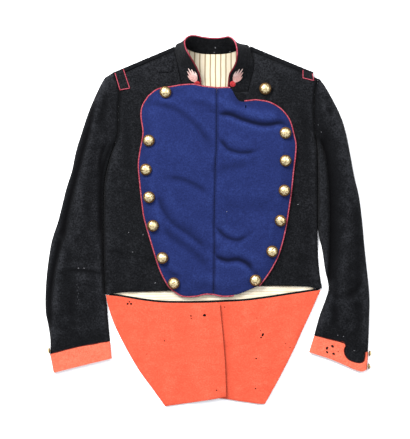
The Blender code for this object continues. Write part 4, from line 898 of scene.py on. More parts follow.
black_wool = wool("fulled_black_wool", "#020203", "#0e0f11", "#232427")
blue_wool = wool("fulled_blue_wool", "#070b1e", "#18214a", "#2b3a6f", patch=52.0, mottling=0.45)
red_wool = wool("red_facing_cloth", "#9c3524", "#be4c36", "#cf6d55", grain=2.6, patch=30.0,
                mottling=0.5)
cord_wool = wool("red_piping_cord", "#4a0d16", "#8c2f3c", "#b86a78", grain=1.6, patch=20.0)
flame_felt = wool("faded_red_felt", "#8a4a42", "#c49a92", "#dcc6be", grain=1.2, patch=9.0)
ball_felt = wool("red_felt", "#6e161a", "#98282c", "#a83c3c", grain=1.2, patch=9.0)

# %% [markdown]
# ## Striped ticking
# The body lining is cotton ticking: a cream ground with thin brown stripes. The stripe is a
# function of one coordinate. In the neck the stripes run down the back, about 10 mm apart. In
# the gap at the waist they show nearly level and about 5 mm apart. So both are settings.

# %% Ticking
def ticking(name, along, ground, stripe, pitch=10.1, line=0.16):
    """Cotton ticking with a stripe every `pitch` mm across the direction `along`."""
    look, tree, shader = new_material(name)
    spot = node(tree, "ShaderNodeTexCoord").outputs["Object"]
    wander = node(tree, "ShaderNodeTexNoise", [("Vector", spot), ("Scale", 22.0)])
    split = node(tree, "ShaderNodeSeparateXYZ", [("Vector", spot)])
    across = split.outputs["X" if along == "y" else "Y"]
    bent = node(tree, "ShaderNodeMath", [(0, wander.outputs["Fac"]), (1, 0.0035), (2, across)],
                operation="MULTIPLY_ADD")
    steps = node(tree, "ShaderNodeMath", [(0, bent.outputs[0]), (1, 1000 / pitch)],
                 operation="MULTIPLY")
    place = node(tree, "ShaderNodeMath", [(0, steps.outputs[0])], operation="FRACT")
    centred = node(tree, "ShaderNodeMath", [(0, place.outputs[0]), (1, 0.5)],
                   operation="SUBTRACT")
    away = node(tree, "ShaderNodeMath", [(0, centred.outputs[0])], operation="ABSOLUTE")
    on_line = node(tree, "ShaderNodeMapRange", [("Value", away.outputs[0]), ("From Min", line / 2),
                                                ("From Max", line), ("To Min", 1.0),
                                                ("To Max", 0.0)])
    age = node(tree, "ShaderNodeTexNoise", [("Vector", spot), ("Scale", 35.0), ("Detail", 3.0)])
    aged = node(tree, "ShaderNodeMix", [("Factor", age.outputs["Fac"]), (6, srgb(ground)),
                                        (7, srgb("#b1a486"))], data_type="RGBA")
    colour = node(tree, "ShaderNodeMix", [("Factor", on_line.outputs["Result"]),
                                          (6, aged.outputs[2]), (7, srgb(stripe))],
                  data_type="RGBA")
    weave = node(tree, "ShaderNodeTexNoise", [("Vector", spot), ("Scale", 900.0)])
    raised = node(tree, "ShaderNodeBump", [("Height", weave.outputs["Fac"]), ("Strength", 0.25),
                                           ("Distance", 0.0004)])
    tree.links.new(colour.outputs[2], shader.inputs["Base Color"])
    tree.links.new(raised.outputs["Normal"], shader.inputs["Normal"])
    shader.inputs["Roughness"].default_value = 0.85
    shader.inputs["Specular IOR Level"].default_value = 0.3
    return look


back_ticking = ticking("striped_cotton_ticking", "y", "#c6bdab", "#7f6c52")
waist_ticking = ticking("striped_cotton_ticking_level", "x", "#e2dac9", "#9c8460", pitch=5.4,
                        line=0.09)

# %% [markdown]
# ## Gilt brass
# The buttons are stamped from thin brass and gilded. Polish stays on the crown, and brown
# tarnish sits in the groove inside the rim and in small pits, so colour and roughness follow
# one noise. The outer rim is drawn dark as well, which is painted shade along its outline.

# %% Gilt
gilt, tree, shader = new_material("worn_gilt_brass")
spot = node(tree, "ShaderNodeTexCoord").outputs["Object"]
tarnish = node(tree, "ShaderNodeTexNoise", [("Vector", spot), ("Scale", 380.0), ("Detail", 4.0),
                                            ("Roughness", 0.65)])
# The point value: polish towards the crown, and painted shade on the outer rim
polish_and_rim_shade = node(tree, "ShaderNodeAttribute", attribute_name="worn")
browned = node(tree, "ShaderNodeMath", [(0, tarnish.outputs["Fac"]), (1, polish_and_rim_shade.outputs["Fac"])],
               operation="SUBTRACT")
dullness_and_rim_shade = node(tree, "ShaderNodeMapRange", [("Value", browned.outputs[0]),
                                             ("From Min", -0.04), ("From Max", 0.16)])
gold = node(tree, "ShaderNodeMix", [("Factor", dullness_and_rim_shade.outputs["Result"]), (6, srgb("#ecdaa9")),
                                    (7, srgb("#5a4124"))], data_type="RGBA")
rough = node(tree, "ShaderNodeMapRange", [("Value", dullness_and_rim_shade.outputs["Result"]),
                                          ("To Min", 0.38), ("To Max", 0.6)])
dents = node(tree, "ShaderNodeBump", [("Height", tarnish.outputs["Fac"]), ("Strength", 0.35),
                                      ("Distance", 0.0005)])
tree.links.new(gold.outputs[2], shader.inputs["Base Color"])
tree.links.new(rough.outputs["Result"], shader.inputs["Roughness"])
tree.links.new(dents.outputs["Normal"], shader.inputs["Normal"])
shader.inputs["Metallic"].default_value = 1.0

# %% [markdown]
# ## The back and the linings
# The back lies flat on the table and turns forward over both shoulders up to the shoulder
# seams. It is cut flat and then bent: every point past a shoulder line is wound around a
# half circle, which is what the cloth does.

# %% Back
def turned_back(points):
    """Bends what lies past a shoulder line up and over it, towards the front."""
    radius = SHOULDER_ROLL - WOOL / 2
    out = points.copy()
    for name in ("right_shoulder_fold", "left_shoulder_fold"):
        side = -1 if name.startswith("right") else 1
        way = shoulder_way(name)
        past = past_line(points[:, 0], points[:, 1], name)
        bent = (past > 0) & (side * points[:, 0] > 60)
        angle = np.clip(past / radius, 0, pi)
        arm = SHOULDER_ROLL - points[:, 2]
        shift = arm * np.sin(angle) - (past - angle * radius) - past
        out[bent, 0] += (way[0] * shift)[bent]
        out[bent, 1] += (way[1] * shift)[bent]
        out[bent, 2] = (SHOULDER_ROLL - arm * np.cos(angle))[bent]
    return out


def flap_line(side, past, spacing):
    """A line past a shoulder's fold, in the flat cloth before it is turned."""
    a, b = np.array(EDGES[side + "_shoulder_fold"], float)
    sign = -1 if side == "right" else 1
    way = np.array((sign * (a[1] - b[1]), sign * (b[0] - a[0])))
    way *= past / np.linalg.norm(way)
    return smooth((a + way, b + way), spacing)


half_turn = pi * (SHOULDER_ROLL - WOOL / 2)
reach = {"right": half_turn + 3.0, "left": half_turn + 4.0}
flap_steps = {s: list(np.linspace(0, half_turn, 9)) + [reach[s]] for s in reach}
flap_ends = {s: [np.array([flap_line(s, past, 4.0)[k] for past in flap_steps[s]])
                 for k in (0, -1)] for s in reach}
back_sides = {}
for s, sign in (("right", -1), ("left", 1)):
    line = edge(s + "_side", 8)
    start, last = line[0, 1], CONTACT_ENDS[s] + 44
    under = [p + (sign * (1.5 + 3.5 * ease((start - p[1]) / 26)), 0)
             for p in line if p[1] > last + 3]
    clear = [p for p in beside(line, -sign * UNDER_INSET)[:-1] if p[1] < last - 3]
    back_sides[s] = np.array(under + clear)
back_waist = np.array([p for p in beside(edge("waist", 8), -STRIP_WIDTH / 2)
                       if -203 < p[0] < 210])
back_armholes = {}
for s, inward in (("right", 5), ("left", -5)):
    below = [tuple(p) for p in edge(s + "_armhole", 8) if p[1] < 268][:-2]
    x, y = EDGES[s + "_side"][0]
    back_armholes[s] = np.array([EDGES[s + "_shoulder_fold"][1]] + below + [(x + inward, y + 6)])
back_outline = ring(back_armholes["right"], back_sides["right"], back_waist, back_sides["left"],
                    back_armholes["left"], flap_ends["left"][1],
                    flap_line("left", reach["left"], 4.0), flap_ends["left"][0],
                    edge("back_neck", 4), flap_ends["right"][0],
                    flap_line("right", reach["right"], 4.0), flap_ends["right"][1])
back = cloth("back_cloth", back_outline, level(WOOL), WOOL, black_wool, 4.0, bend=turned_back)
stands_for(back, "back")
print("back:", len(back.data.polygons), "faces")

# %% Linings and the strip along the waist
def lining_height(base, seed):
    """Top of a thin lining with small puckers."""
    return lambda x, y: base + np.clip(uneven(x, y, 26, 0.35, seed), -0.3, 0.9)


TICKING_TOP = WOOL + SEAM_GAP + LINING
lining_low = smooth(((-61, 330), (-55, 290), (-48, 240), (-40, 172), (60, 172), (73, 240),
                     (81, 290), (79, 327)), 5)
lining_neck = np.array([p for p in beside(edge("back_neck", 5), -1.2) if -59 < p[0] < 76])
back_lining = cloth("neck_ticking", ring(lining_neck, lining_low), lining_height(TICKING_TOP, 21),
                    LINING, back_ticking, 4.0)
stands_for(back_lining, "back_lining")
waist_low = np.array([p for p in beside(edge("waist", 5), SEAM_GAP) if -187 < p[0] < 207])
waist_high = smooth(((-185, -118), (0, -116), (205, -108)), 5)
waist_lining = cloth("waist_ticking", ring(waist_low, waist_high),
                     lining_height(TICKING_TOP, 22), LINING, waist_ticking, 3.2)
stands_for(waist_lining, "waist_lining")
strip = edge("waist", 4)
strip[0] += (10, -1)
strip[-1] -= (10, 1.5)
waist_edge = cloth("waist_strip", ring(strip, beside(strip, -STRIP_WIDTH)),
                   level(WOOL + SEAM_GAP + 1.6), 1.6, black_wool, 3.0)
stands_for(waist_edge, "waist_edge")

# %% [markdown]
# ## The fronts
# Each front runs from the shoulder seam to the hem at the waist, and its centre edge is hidden
# under the plastron. The side is a fold that rolls down to the table.

# %% Fronts
def cut_below(line, y):
    """The stretch of a downward line under one y, starting exactly there."""
    k = int(np.argmax(line[:, 1] < y))
    share = (line[k - 1, 1] - y) / (line[k - 1, 1] - line[k, 1])
    return np.vstack([line[k - 1] + share * (line[k] - line[k - 1]), line[k:]])


for side in ("right", "left"):
    armhole = cut_below(edge(side + "_armhole", NET), EDGES[side + "_shoulder_seam"][1][1])
    seam = smooth((EDGES[side + "_shoulder_seam"][0], armhole[0]), NET)
    outline = ring(seam, armhole, edge(side + "_side", NET), edge(side + "_hem", NET),
                   edge(side + "_centre", NET), edge(side + "_neck", NET))
    front = cloth(side + "_front_cloth", outline, front_top, FRONT_WALL, black_wool,
                  rolled=[side + "_side"], panel="fronts")
    stands_for(front, side + "_front")
    print(front.name, len(front.data.polygons), "faces")

# %% [markdown]
# ## The sleeves
# A uniform sleeve is cut in two: the wide top sleeve, which shows, and a narrow under sleeve.
# Laid flat, the top sleeve rolls down to the table along both edges, and its long folds run
# from the shoulder to the cuff.

# %% Sleeves
for side, sign in (("right", 1), ("left", -1)):
    away = beside(edge(side + "_armhole", NET), -sign * SEAM_GAP)
    back_edge = edge(side + "_sleeve_back", NET)
    front_edge = edge(side + "_sleeve_front", NET)
    tuck_end = beside(edge(side + "_cuff_mouth", NET), sign * 3.0)
    backs = EDGES[side + "_sleeve_back"][-1:] + EDGES[side + "_cuff_mouth"][:1]
    fronts = EDGES[side + "_sleeve_front"][-1:] + EDGES[side + "_cuff_mouth"][-1:]
    tuck_end = np.array([p for p in tuck_end if min(distance(p[0], p[1], backs),
                                                    distance(p[0], p[1], fronts)) > TUCK_INSET])
    steps = [np.array([line[-1] + (toward - line[-1]) * TUCK_INSET / gap_between(line[-1], toward)])
             for line, toward in ((back_edge, front_edge[-1]), (front_edge, back_edge[-1]))]
    outline = ring(away, front_edge[3:], steps[1], tuck_end, steps[0], back_edge,
                   edge(side + "_sleeve_head", NET))
    sleeve = cloth(side + "_sleeve_cloth", outline, sleeve_top(side), WOOL, black_wool,
                   rolled=[side + "_sleeve_" + part for part in ("back", "front", "head")],
                   panel=side + "_sleeve")
    stands_for(sleeve, side + "_top_sleeve")
    inner = [beside(edge(side + "_sleeve_" + part, 8), by)[3:-3] for part, by in
             (("back", sign * UNDER_INSET), ("front", -sign * UNDER_INSET))]
    seam = beside(edge(side + "_armhole", 8), -sign * 1.5)[2:-4]
    end = beside(edge(side + "_cuff_top", 8), sign * 2.5)[2:-2]
    under = cloth(side + "_under_sleeve_cloth", ring(seam, inner[1], end, inner[0]), level(WOOL),
                  WOOL, black_wool, 6.0)
    stands_for(under, side + "_under_sleeve")
    print(sleeve.name, len(sleeve.data.polygons), "faces")

# %% [markdown]
# ## The cuffs
# A cuff is a red band around the end of the sleeve, pressed flat. Its section is a flat loop,
# carried from the upper to the lower edge. Moths have eaten the left one: small holes, and a
# bite out of its upper edge. Cutting them with the exact boolean leaves the raw edge of the
# cloth standing, as a real hole does.

# %% Cuffs
Hole = namedtuple("Hole", "x y radius stretch turn")
CUFF_HOLES = (Hole(230.5, -249.5, 2.3, 1.35, 60), Hole(241, -246, 2.2, 1.5, -35),
              Hole(230.5, -257.5, 1.9, 1.5, -50), Hole(243, -260.5, 2.2, 1.3, -20),
              Hole(252.2, -256.7, 1.0, 1.2, 0))
CUFF_BITE = ((259, -236), (263.5, -239), (266.5, -245), (264, -250), (263.3, -255), (265, -262),
             (269.7, -269.5), (275, -273.5), (285, -277), (294.5, -278.5), (301.5, -275.5),
             (303.8, -268.6), (305, -258), (325, -256), (325, -226), (262, -222))
CUFF_ROWS = 9
CUFF_WEAR = 0.78         # evenly rubbed, so nearer to faded than to deep


def eaten(hole, count=18, seed=0):
    """A moth hole's uneven rim."""
    draw = np.random.default_rng(int(abs(hole.x * 7 + hole.y * 13)) + seed)
    tilt = radians(hole.turn)
    points = []
    for k in range(count):
        a = 2 * pi * k / count
        r = hole.radius * (1 + draw.uniform(-0.16, 0.16))
        u, v = r * hole.stretch * cos(a), r * sin(a)
        points.append((hole.x + u * cos(tilt) - v * sin(tilt),
                       hole.y + u * sin(tilt) + v * cos(tilt)))
    return points


def cuff_profile(width, inset):
    """Section of a cuff pressed flat, as (across, z) points, `inset` mm inside its outside."""
    flat_half = CUFF_HEIGHT / 2
    r = flat_half - inset
    arc = [radians(a) for a in range(-90, 91, 18)]
    shares = np.linspace(0, 1, 34)[1:-1]
    right = [(width - flat_half + r * cos(a), flat_half + r * sin(a)) for a in arc]
    left = [(flat_half - r * cos(a), flat_half - r * sin(a)) for a in arc]
    over = [(flat_half + (width - CUFF_HEIGHT) * (1 - t), flat_half + r) for t in shares]
    under = [(flat_half + (width - CUFF_HEIGHT) * t, flat_half - r) for t in shares]
    return right + over + left + under


def face_outward(mesh):
    """Turns a closed mesh's faces so that they all look outward."""
    bm = bmesh.new()
    bm.from_mesh(mesh)
    bmesh.ops.recalc_face_normals(bm, faces=bm.faces)
    bm.to_mesh(mesh)
    bm.free()


def build_cuff(side, holes, bite):
    """One cuff, with its holes cut."""
    top, mouth = smooth(EDGES[side + "_cuff_top"], 2.5), smooth(EDGES[side + "_cuff_mouth"], 2.5)
    points, walls = [], []
    for inset in (0, RED_CLOTH):
        rings = []
        for share in np.linspace(0.012, 1.0, CUFF_ROWS):
            width = gap_between(*[(1 - share) * top[k] + share * mouth[k] for k in (0, -1)])
            numbers = []
            for across, z in cuff_profile(width, inset):
                at = [np.array([np.interp(across / width, np.linspace(0, 1, len(line)), line[:, k])
                                for k in (0, 1)]) for line in (top, mouth)]
                x, y = (1 - share) * at[0] + share * at[1]
                swell = uneven(np.array([x]), np.array([y]), 30, 0.35, 31)[0] if z > 4 else 0.0
                numbers.append(len(points))
                points.append((x, y, z + swell))
            rings.append(numbers)
        walls.append(rings)
    faces = [tuple(reversed(f)) for f in skin(walls[0])] + skin(walls[1])
    faces += skin([walls[0][0], walls[1][0]])
    faces += [tuple(reversed(f)) for f in skin([walls[0][-1], walls[1][-1]])]
    cuff = add(side + "_cuff_cloth", points, faces, red_wool, worn=np.zeros(len(points)))
    face_outward(cuff.data)
    for outline in [eaten(hole) for hole in holes] + ([list(bite)] if bite else []):
        tool = prism(outline, CUFF_HEIGHT / 2, 2 * CUFF_HEIGHT)
        cut = cuff.modifiers.new("hole", "BOOLEAN")
        cut.operation = "DIFFERENCE"
        cut.solver = "EXACT"
        cut.object = tool
        with bpy.context.temp_override(object=cuff, active_object=cuff):
            bpy.ops.object.modifier_apply(modifier=cut.name)
        bpy.data.objects.remove(tool)
    wear = cuff.data.attributes["worn"].data
    wear.foreach_set("value", np.full(len(cuff.data.vertices), CUFF_WEAR))
    cuff.data.shade_smooth()
    cuff.data.set_sharp_from_angle(angle=radians(50))
    return cuff


def prism(outline, low, high):
    """An upright block that cuts a hole."""
    count = len(outline)
    points = [(x, y, low) for x, y in outline] + [(x, y, high) for x, y in outline]
    faces = [tuple(range(count))[::-1], tuple(range(count, 2 * count))]
    faces += [(k, (k + 1) % count, (k + 1) % count + count, k + count) for k in range(count)]
    tool = add("hole_cutter", points, faces, red_wool)
    face_outward(tool.data)
    return tool


bite_rim = [tuple(p) for p in smooth(CUFF_BITE[:13], 1.6)] + list(CUFF_BITE[13:])
for side, holes, bite in (("right", (), ()), ("left", CUFF_HOLES, bite_rim)):
    cuff = build_cuff(side, holes, bite)
    stands_for(cuff, side + "_cuff")
    print(cuff.name, len(cuff.data.polygons), "faces")

# %% [markdown]
# ## Painted shadow along the cuffs' edges
# The red cloth wasn't hemmed. A fine cord in a dark brownish red lies on each cuff's upper
# edge and along the bite: painted shadow, for the dark line where the cuff's edge meets the sleeve.

# %% Shadow cords on the cuffs
SHADOW_CORD_RADIUS = 0.75
SHADOW_CORD_HEIGHT = 6.7    # mm over the table, where the cuff is 6.8 high
shadow_red = wool("painted_shadow_cord", "#2a0a08", "#4a1410", "#74281c", grain=1.4)
bite_edge = smooth(CUFF_BITE[:13], 2.5)
for side, line in (("right", smooth(EDGES["right_cuff_top"], 2.5)[2:-2]),
                   ("left", np.vstack([[p for p in smooth(EDGES["left_cuff_top"], 2.5)[::-1][2:]
                                        if p[0] < 257.5], bite_edge]))):
    # a dark cord as painted shadow along the cuff's edge
    path = np.column_stack([line, np.full(len(line), SHADOW_CORD_HEIGHT)])
    raw = cord(side + "_cuff_shadow_cord", path, SHADOW_CORD_RADIUS, shadow_red, sides=6)
    trim(raw)

# %% [markdown]
# ## The tails
# Each tail is two cloths: black outside, which lies on the table, and the red lining, which is
# what the picture shows. The right tail lies over the left one. Moth holes go through the
# lining only, so the black cloth shows in them.

# %% Tails
TAIL_HOLES = {
    "right": (Hole(-8, -185.5, 2.6, 1.2, 20), Hole(-157.8, -163.4, 1.9, 1.2, 30),
              Hole(-151.2, -163.4, 1.8, 1.3, -30), Hole(-154.6, -159.4, 1.2, 1.4, 90),
              Hole(-34.5, -187, 1.5, 1, 0), Hole(-34, -192, 1.0, 1.2, 0),
              Hole(-86.2, -235.5, 1.0, 1.5, -30), Hole(15.4, -331.4, 1.3, 1, 0),
              Hole(-120.3, -261.4, 0.8, 1, 0)),
    "left": (Hole(105.5, -223.5, 2.2, 1.5, 70), Hole(102, -229, 1.3, 1.2, 0),
             Hole(101, -216, 0.9, 1.2, 0), Hole(92.6, -270, 1.2, 1.5, 0),
             Hole(91.3, -328.5, 1.2, 1.2, 0), Hole(94.2, -191.2, 0.8, 1, 0),
             Hole(150, -241.3, 0.8, 1.3, 0), Hole(158.5, -248.4, 0.9, 1.2, 0),
             Hole(31.2, -170, 1.0, 1, 0)),
}
for side, inner in (("right", "tail_overlap"), ("left", "tail_left_hidden")):
    waist = beside(edge("waist", NET), -STRIP_WIDTH - SEAM_GAP)
    low, high = (-197, 20) if side == "right" else (3, 216)
    waist = np.array([p for p in waist if low < p[0] < high])
    outline = ring(waist, edge(f"tail_{side}_edge", NET), edge(f"tail_{side}_bottom", NET),
                   edge(inner, NET)[:-1])
    lift = tail_lift if side == "right" else level(0)

    def dark(x, y, lift=lift):
        """Top of the tail's black outside."""
        return lift(x, y) + WOOL

    def red(x, y, lift=lift):
        """Top of its red lining, a little uneven."""
        rise = np.clip(uneven(x, y, 60, 0.5, 41) + uneven(x, y, 22, 0.15, 42), -0.4, 1.6)
        if side == "left":                                  # pressed flat under the other tail
            rise = np.minimum(rise, 0.4) + (rise - np.minimum(rise, 0.4)) * ease((x - 40) / 30)
        return lift(x, y) + WOOL + LAYER_GAP + RED_CLOTH + rise

    inset = (2.5, 0) if side == "right" else (0, 0)      # so that the lining covers its edge
    outer = ring(waist, edge(f"tail_{side}_edge", NET), edge(f"tail_{side}_bottom", NET)[:-1],
                 edge(inner, NET)[:-1] - inset)
    tail = cloth(f"{side}_tail_cloth", outer, dark, WOOL, black_wool, 5.0)
    stands_for(tail, "tail_" + side)
    lining = cloth(f"{side}_tail_red_lining", outline, red, RED_CLOTH, red_wool,
                   holes=[eaten(hole) for hole in TAIL_HOLES[side]], panel=side + "_tail")
    stands_for(lining, "tail_lining_" + side)
    print(lining.name, len(lining.data.polygons), "faces")

# %% [markdown]
# ## The plastron
# The blue plastron is a double-breasted panel in two halves with a seam down the middle. It
# bellies away from the fronts between its edges, and its crisp folds are the coat's
# liveliest light and shade. A red cord is sewn into its edge.

# %% Plastron
for side, sign in (("right", 1), ("left", -1)):
    centre = beside(edge("plastron_centre", NET), -sign * 0.05)
    outline = ring(centre, edge(f"plastron_bottom_{side}", NET)[:-1],
                   edge(f"plastron_side_{side}", NET), edge(f"plastron_top_{side}", NET)[1:])
    buttonhole = [eaten(Hole(72, 220.3, 1.1, 3.2, 84))] if side == "left" else []
    half_panel = cloth("plastron_cloth_" + side, outline, plastron_top, PLASTRON_WALL, blue_wool,
                       2.4, holes=buttonhole, panel="plastron")
    stands_for(half_panel, "plastron_" + side)
    print(half_panel.name, len(half_panel.data.polygons), "faces")

# %% Piping round the plastron
PIPING_RADIUS = 1.4
right_path = joined(edge("plastron_bottom_left", 2)[26:], edge("plastron_bottom_right", 2)[::-1],
                    edge("plastron_side_right", 2)[::-1], edge("plastron_top_right", 2)[::-1],
                    edge("plastron_top_left", 2)[:14])
left_path = joined(edge("plastron_top_left", 2)[-12:], edge("plastron_side_left", 2))
for side, path in (("right", right_path), ("left", left_path)):
    line = beside(path, PIPING_RADIUS + 0.1)
    z = plastron_top(path[:, 0], path[:, 1]) - PIPING_RADIUS
    piping = cord(f"{side}_plastron_cord", np.column_stack([line, z]), PIPING_RADIUS, cord_wool,
                  twist=0.05)
    stands_for(piping, side + "_plastron_piping")

# %% [markdown]
# ## The collar
# A stand collar is stiffened with canvas, so it stands by itself. Here its front ends lie down
# under the plastron's top edge and its back stands and leans away. It is lofted between its
# foot and its upper edge, station by station, with one wall on each side of that surface.

# %% Collar
Station = namedtuple("Station", "foot_x foot_y foot_z edge_x edge_y edge_z")
COLLAR = (
    Station(-50, 245.3, 6.0, -13, 247, 6.0),
    Station(-52, 258, 6.6, -16, 260, 7.6),
    Station(-54, 273, 8.2, -17.5, 275, 12.0),
    Station(-57, 289, 9.6, -23, 291.5, 23.0),
    Station(-60, 305, 10.4, -31, 306, 32.0),
    Station(-62.5, 319, 11.0, -38.5, 318.5, 39.0),
    Station(-64.5, 331, 11.4, -44.5, 329.5, 44.0),
    Station(-61, 341.5, 10.6, -47, 341.5, 46.0),
    Station(-50.5, 340, 7.6, -44.5, 349, 42.0),
    Station(-38, 332.5, 4.6, -36.5, 354.5, 36.0),
    Station(-24, 327, 3.2, -25, 355.3, 30.0),
    Station(-8, 324.8, 2.6, -11.5, 352.7, 27.0),
    Station(9, 324.2, 2.4, 9, 350.7, 25.0),
    Station(26, 324.8, 2.6, 26, 351.7, 26.0),
    Station(42, 327, 3.2, 38, 353.5, 29.0),
    Station(57, 332.5, 4.6, 46, 349.5, 35.0),
    Station(67.5, 339.5, 7.6, 51.5, 342, 42.0),
    Station(76.5, 338, 10.6, 54.5, 331.5, 46.0),
    Station(81.5, 325, 11.4, 55.5, 318.5, 44.0),
    Station(86, 309.5, 11.0, 54, 306, 40.0),
    Station(87, 297, 10.4, 49, 294, 33.0),
    Station(84, 284, 9.6, 42.5, 284.5, 23.0),
    Station(81, 272, 8.2, 40.3, 273.5, 12.0),
    Station(78, 259, 6.3, 39.2, 261, 7.2),
    Station(76, 247.3, 5.3, 38.3, 248, 5.3),
)
COLLAR_ROWS = 14


def collar_points(share, out, spacing=3.0):
    """Points along the collar at one share of its height, `out` mm off its middle."""
    line = smooth(np.array(COLLAR, float), spacing)
    foot, rim = line[:, :3], line[:, 3:]
    at = foot + (rim - foot) * share
    along = np.gradient(at, axis=0)
    normal = np.cross(along, rim - foot)
    normal /= np.linalg.norm(normal, axis=1)[:, None]
    sag = 0.7 * sin(pi * share) * np.sin(np.arange(len(at)) * 0.31)[:, None]
    return at + (out + sag) * normal


shares = [k / COLLAR_ROWS for k in range(COLLAR_ROWS + 1)]
rows = [collar_points(s, COLLAR_WALL / 2) for s in shares]
rows += [collar_points(s, -COLLAR_WALL / 2) for s in reversed(shares)]
stations, around = len(rows[0]), len(rows)
points = np.array([row[k] for k in range(stations) for row in rows])
rings = [list(range(k * around, (k + 1) * around)) for k in range(stations)]
faces = skin(rings)
for k in range(COLLAR_ROWS):
    for end, flip in ((rings[0], 1), (rings[-1], -1)):
        faces.append((end[k], end[k + 1], end[-k - 2], end[-k - 1])[::flip])
collar = add("collar_cloth", points, [tuple(reversed(f)) for f in faces], black_wool,
             worn=np.full(len(points), 0.5))
stands_for(collar, "collar")
line = smooth(np.array(COLLAR, float), 2.2)
rise = line[:, 3:] - line[:, :3]
rise /= np.linalg.norm(rise, axis=1)[:, None]
collar_cord = cord("collar_cord", line[:, 3:] + 1.2 * rise, PIPING_RADIUS, cord_wool, twist=0.05)
stands_for(collar_cord, "collar_piping")
low_end = [0.3 if v.co.y < 0.316 else 1.0 for v in collar_cord.data.vertices]   # darker on the collar's front parts, below y 316 mm
wear = collar_cord.data.attributes["worn"].data
for value, share in zip(wear, low_end):
    value.value *= share
print("collar:", len(collar.data.polygons), "faces")

# %% [markdown]
# ## Collar badges
# A ball with a flame is a traditional fire service mark. It is cut from felt: a red ball and a
# pale flame with five tongues, drawn here from a few sizes, and laid on the collar by dropping
# each point onto it.

# %% Badges
Badge = namedtuple("Badge", "side x y heading flat_below")
BADGES = (
    Badge("right", -22.5, 264.5, 120, 264.6),
    Badge("left", 46.5, 264.5, 55, 0),
)
BALL_RADIUS = 5.6
Tongue = namedtuple("Tongue", "across tip notch")
FLAME = (Tongue(-7.6, 23.5, 17.0), Tongue(-4.6, 30.5, 21.0), Tongue(-0.2, 34.5, 22.5),
         Tongue(4.0, 30.0, 18.0), Tongue(7.4, 23.0, 14.0))
FLAME_ROOT = 3.0
FLAME_START = 5.0


def dropped(spots, pieces):
    """Heights where upright lines through plan points first meet the pieces, in mm."""
    bpy.context.view_layer.update()
    depsgraph = bpy.context.evaluated_depsgraph_get()
    trees = [BVHTree.FromObject(piece, depsgraph) for piece in pieces]
    heights = []
    for x, y in spots:
        hits = [tree.ray_cast(Vector((x * MM, y * MM, 0.1)), Vector((0, 0, -1)))[0]
                for tree in trees]
        heights.append(max([hit.z / MM for hit in hits if hit], default=0.0))
    return np.array(heights)


for badge in BADGES:
    heading = radians(badge.heading)
    ahead, across = (cos(heading), sin(heading)), (sin(heading), -cos(heading))

    def place(u, v):
        """A plan point `u` mm across the badge and `v` mm along it."""
        return (badge.x + u * across[0] + v * ahead[0], badge.y + u * across[1] + v * ahead[1])

    def on_collar(x, y):
        """Top of a badge that lies on the collar."""
        return dropped(zip(x, y), [collar]) + 0.3 + TRIM_WALL

    ball = [place(BALL_RADIUS * cos(a), BALL_RADIUS * sin(a))
            for a in (2 * pi * k / 30 for k in range(30))]
    ball = [(x, max(y, badge.flat_below)) for x, y in ball]
    ball = [p for k, p in enumerate(ball) if gap_between(p, ball[k - 1]) > 0.4]
    flame = [place(-FLAME_ROOT, FLAME_START), place(-6.4, 9.5), place(-8.4, 14.0),
             place(-8.6, 18.5)]
    for one, two in zip(FLAME, FLAME[1:] + (None,)):
        flame += [place(one.across - 0.7, one.tip - 2.0), place(one.across, one.tip),
                  place(one.across + 0.8, one.tip - 2.6)]
        if two:
            flame.append(place((one.across + two.across) / 2, one.notch))
    flame += [place(8.6, 18.0), place(8.2, 13.5), place(6.0, 9.0), place(FLAME_ROOT, FLAME_START)]
    for part, rim, look in (("ball", ball, ball_felt), ("flame", flame, flame_felt)):
        piece = cloth(f"{badge.side}_collar_{part}", ring(rim[:8], rim[8:]), on_collar, TRIM_WALL,
                      look, 2.0)
        stands_for(piece, f"{badge.side}_badge_{part}")

# %% [markdown]
# ## Shoulder loops and the small patch
# The loops once held epaulettes. Each is a short strip of the coat's wool with a red cord on
# three sides. The small patch by the collar is taken for a repair.

# %% Loops and patch
LOOPS = {
    "right": ((-181, 286), (-167, 292.5), (-155, 257), (-171.5, 254)),
    "left": ((184.5, 291.5), (200.5, 284.5), (203, 272.5), (184.5, 277)),
}
NECK_PATCH = ((-103, 312), (-103, 292), (-99, 287.5), (-94, 286.5), (-75, 288), (-70.5, 292),
              (-69.5, 313))
LOOP_PIPING_RADIUS = 1.0


def on_shoulder(x, y):
    """Top of a trim that lies on the shoulder."""
    return shoulder_top(x, y) + LAYER_GAP + TRIM_WALL


for side, corners in LOOPS.items():
    strips = [smooth((a, b), 2) for a, b in zip(corners, corners[1:] + corners[:1])]
    loop = cloth(side + "_loop_cloth", ring(*strips), on_shoulder, TRIM_WALL, black_wool, 2.2)
    stands_for(loop, side + "_shoulder_loop")
    path = joined(strips[1], strips[2], strips[3])
    line = beside(path, LOOP_PIPING_RADIUS + 0.1)
    z = shoulder_top(line[:, 0], line[:, 1]) + LAYER_GAP + LOOP_PIPING_RADIUS
    loop_cord = cord(side + "_loop_cord", np.column_stack([line, z]), LOOP_PIPING_RADIUS,
                     cord_wool, sides=8)
    stands_for(loop_cord, side + "_loop_piping")
patch = cloth("mended_patch", ring(smooth(NECK_PATCH[:4], 2), smooth(NECK_PATCH[4:], 2)),
              on_shoulder, TRIM_WALL, black_wool, 2.2)
stands_for(patch, "neck_patch")

# %% [markdown]
# ## Buttons
# Each button is a stamped dome with a rolled rim on a wire shank. A turned profile suits
# it: the curve is spun around the axis. A fine ring near the rim and a low swelling in the
# crown catch the light. The shank ends a little over the cloth, where its thread would be.

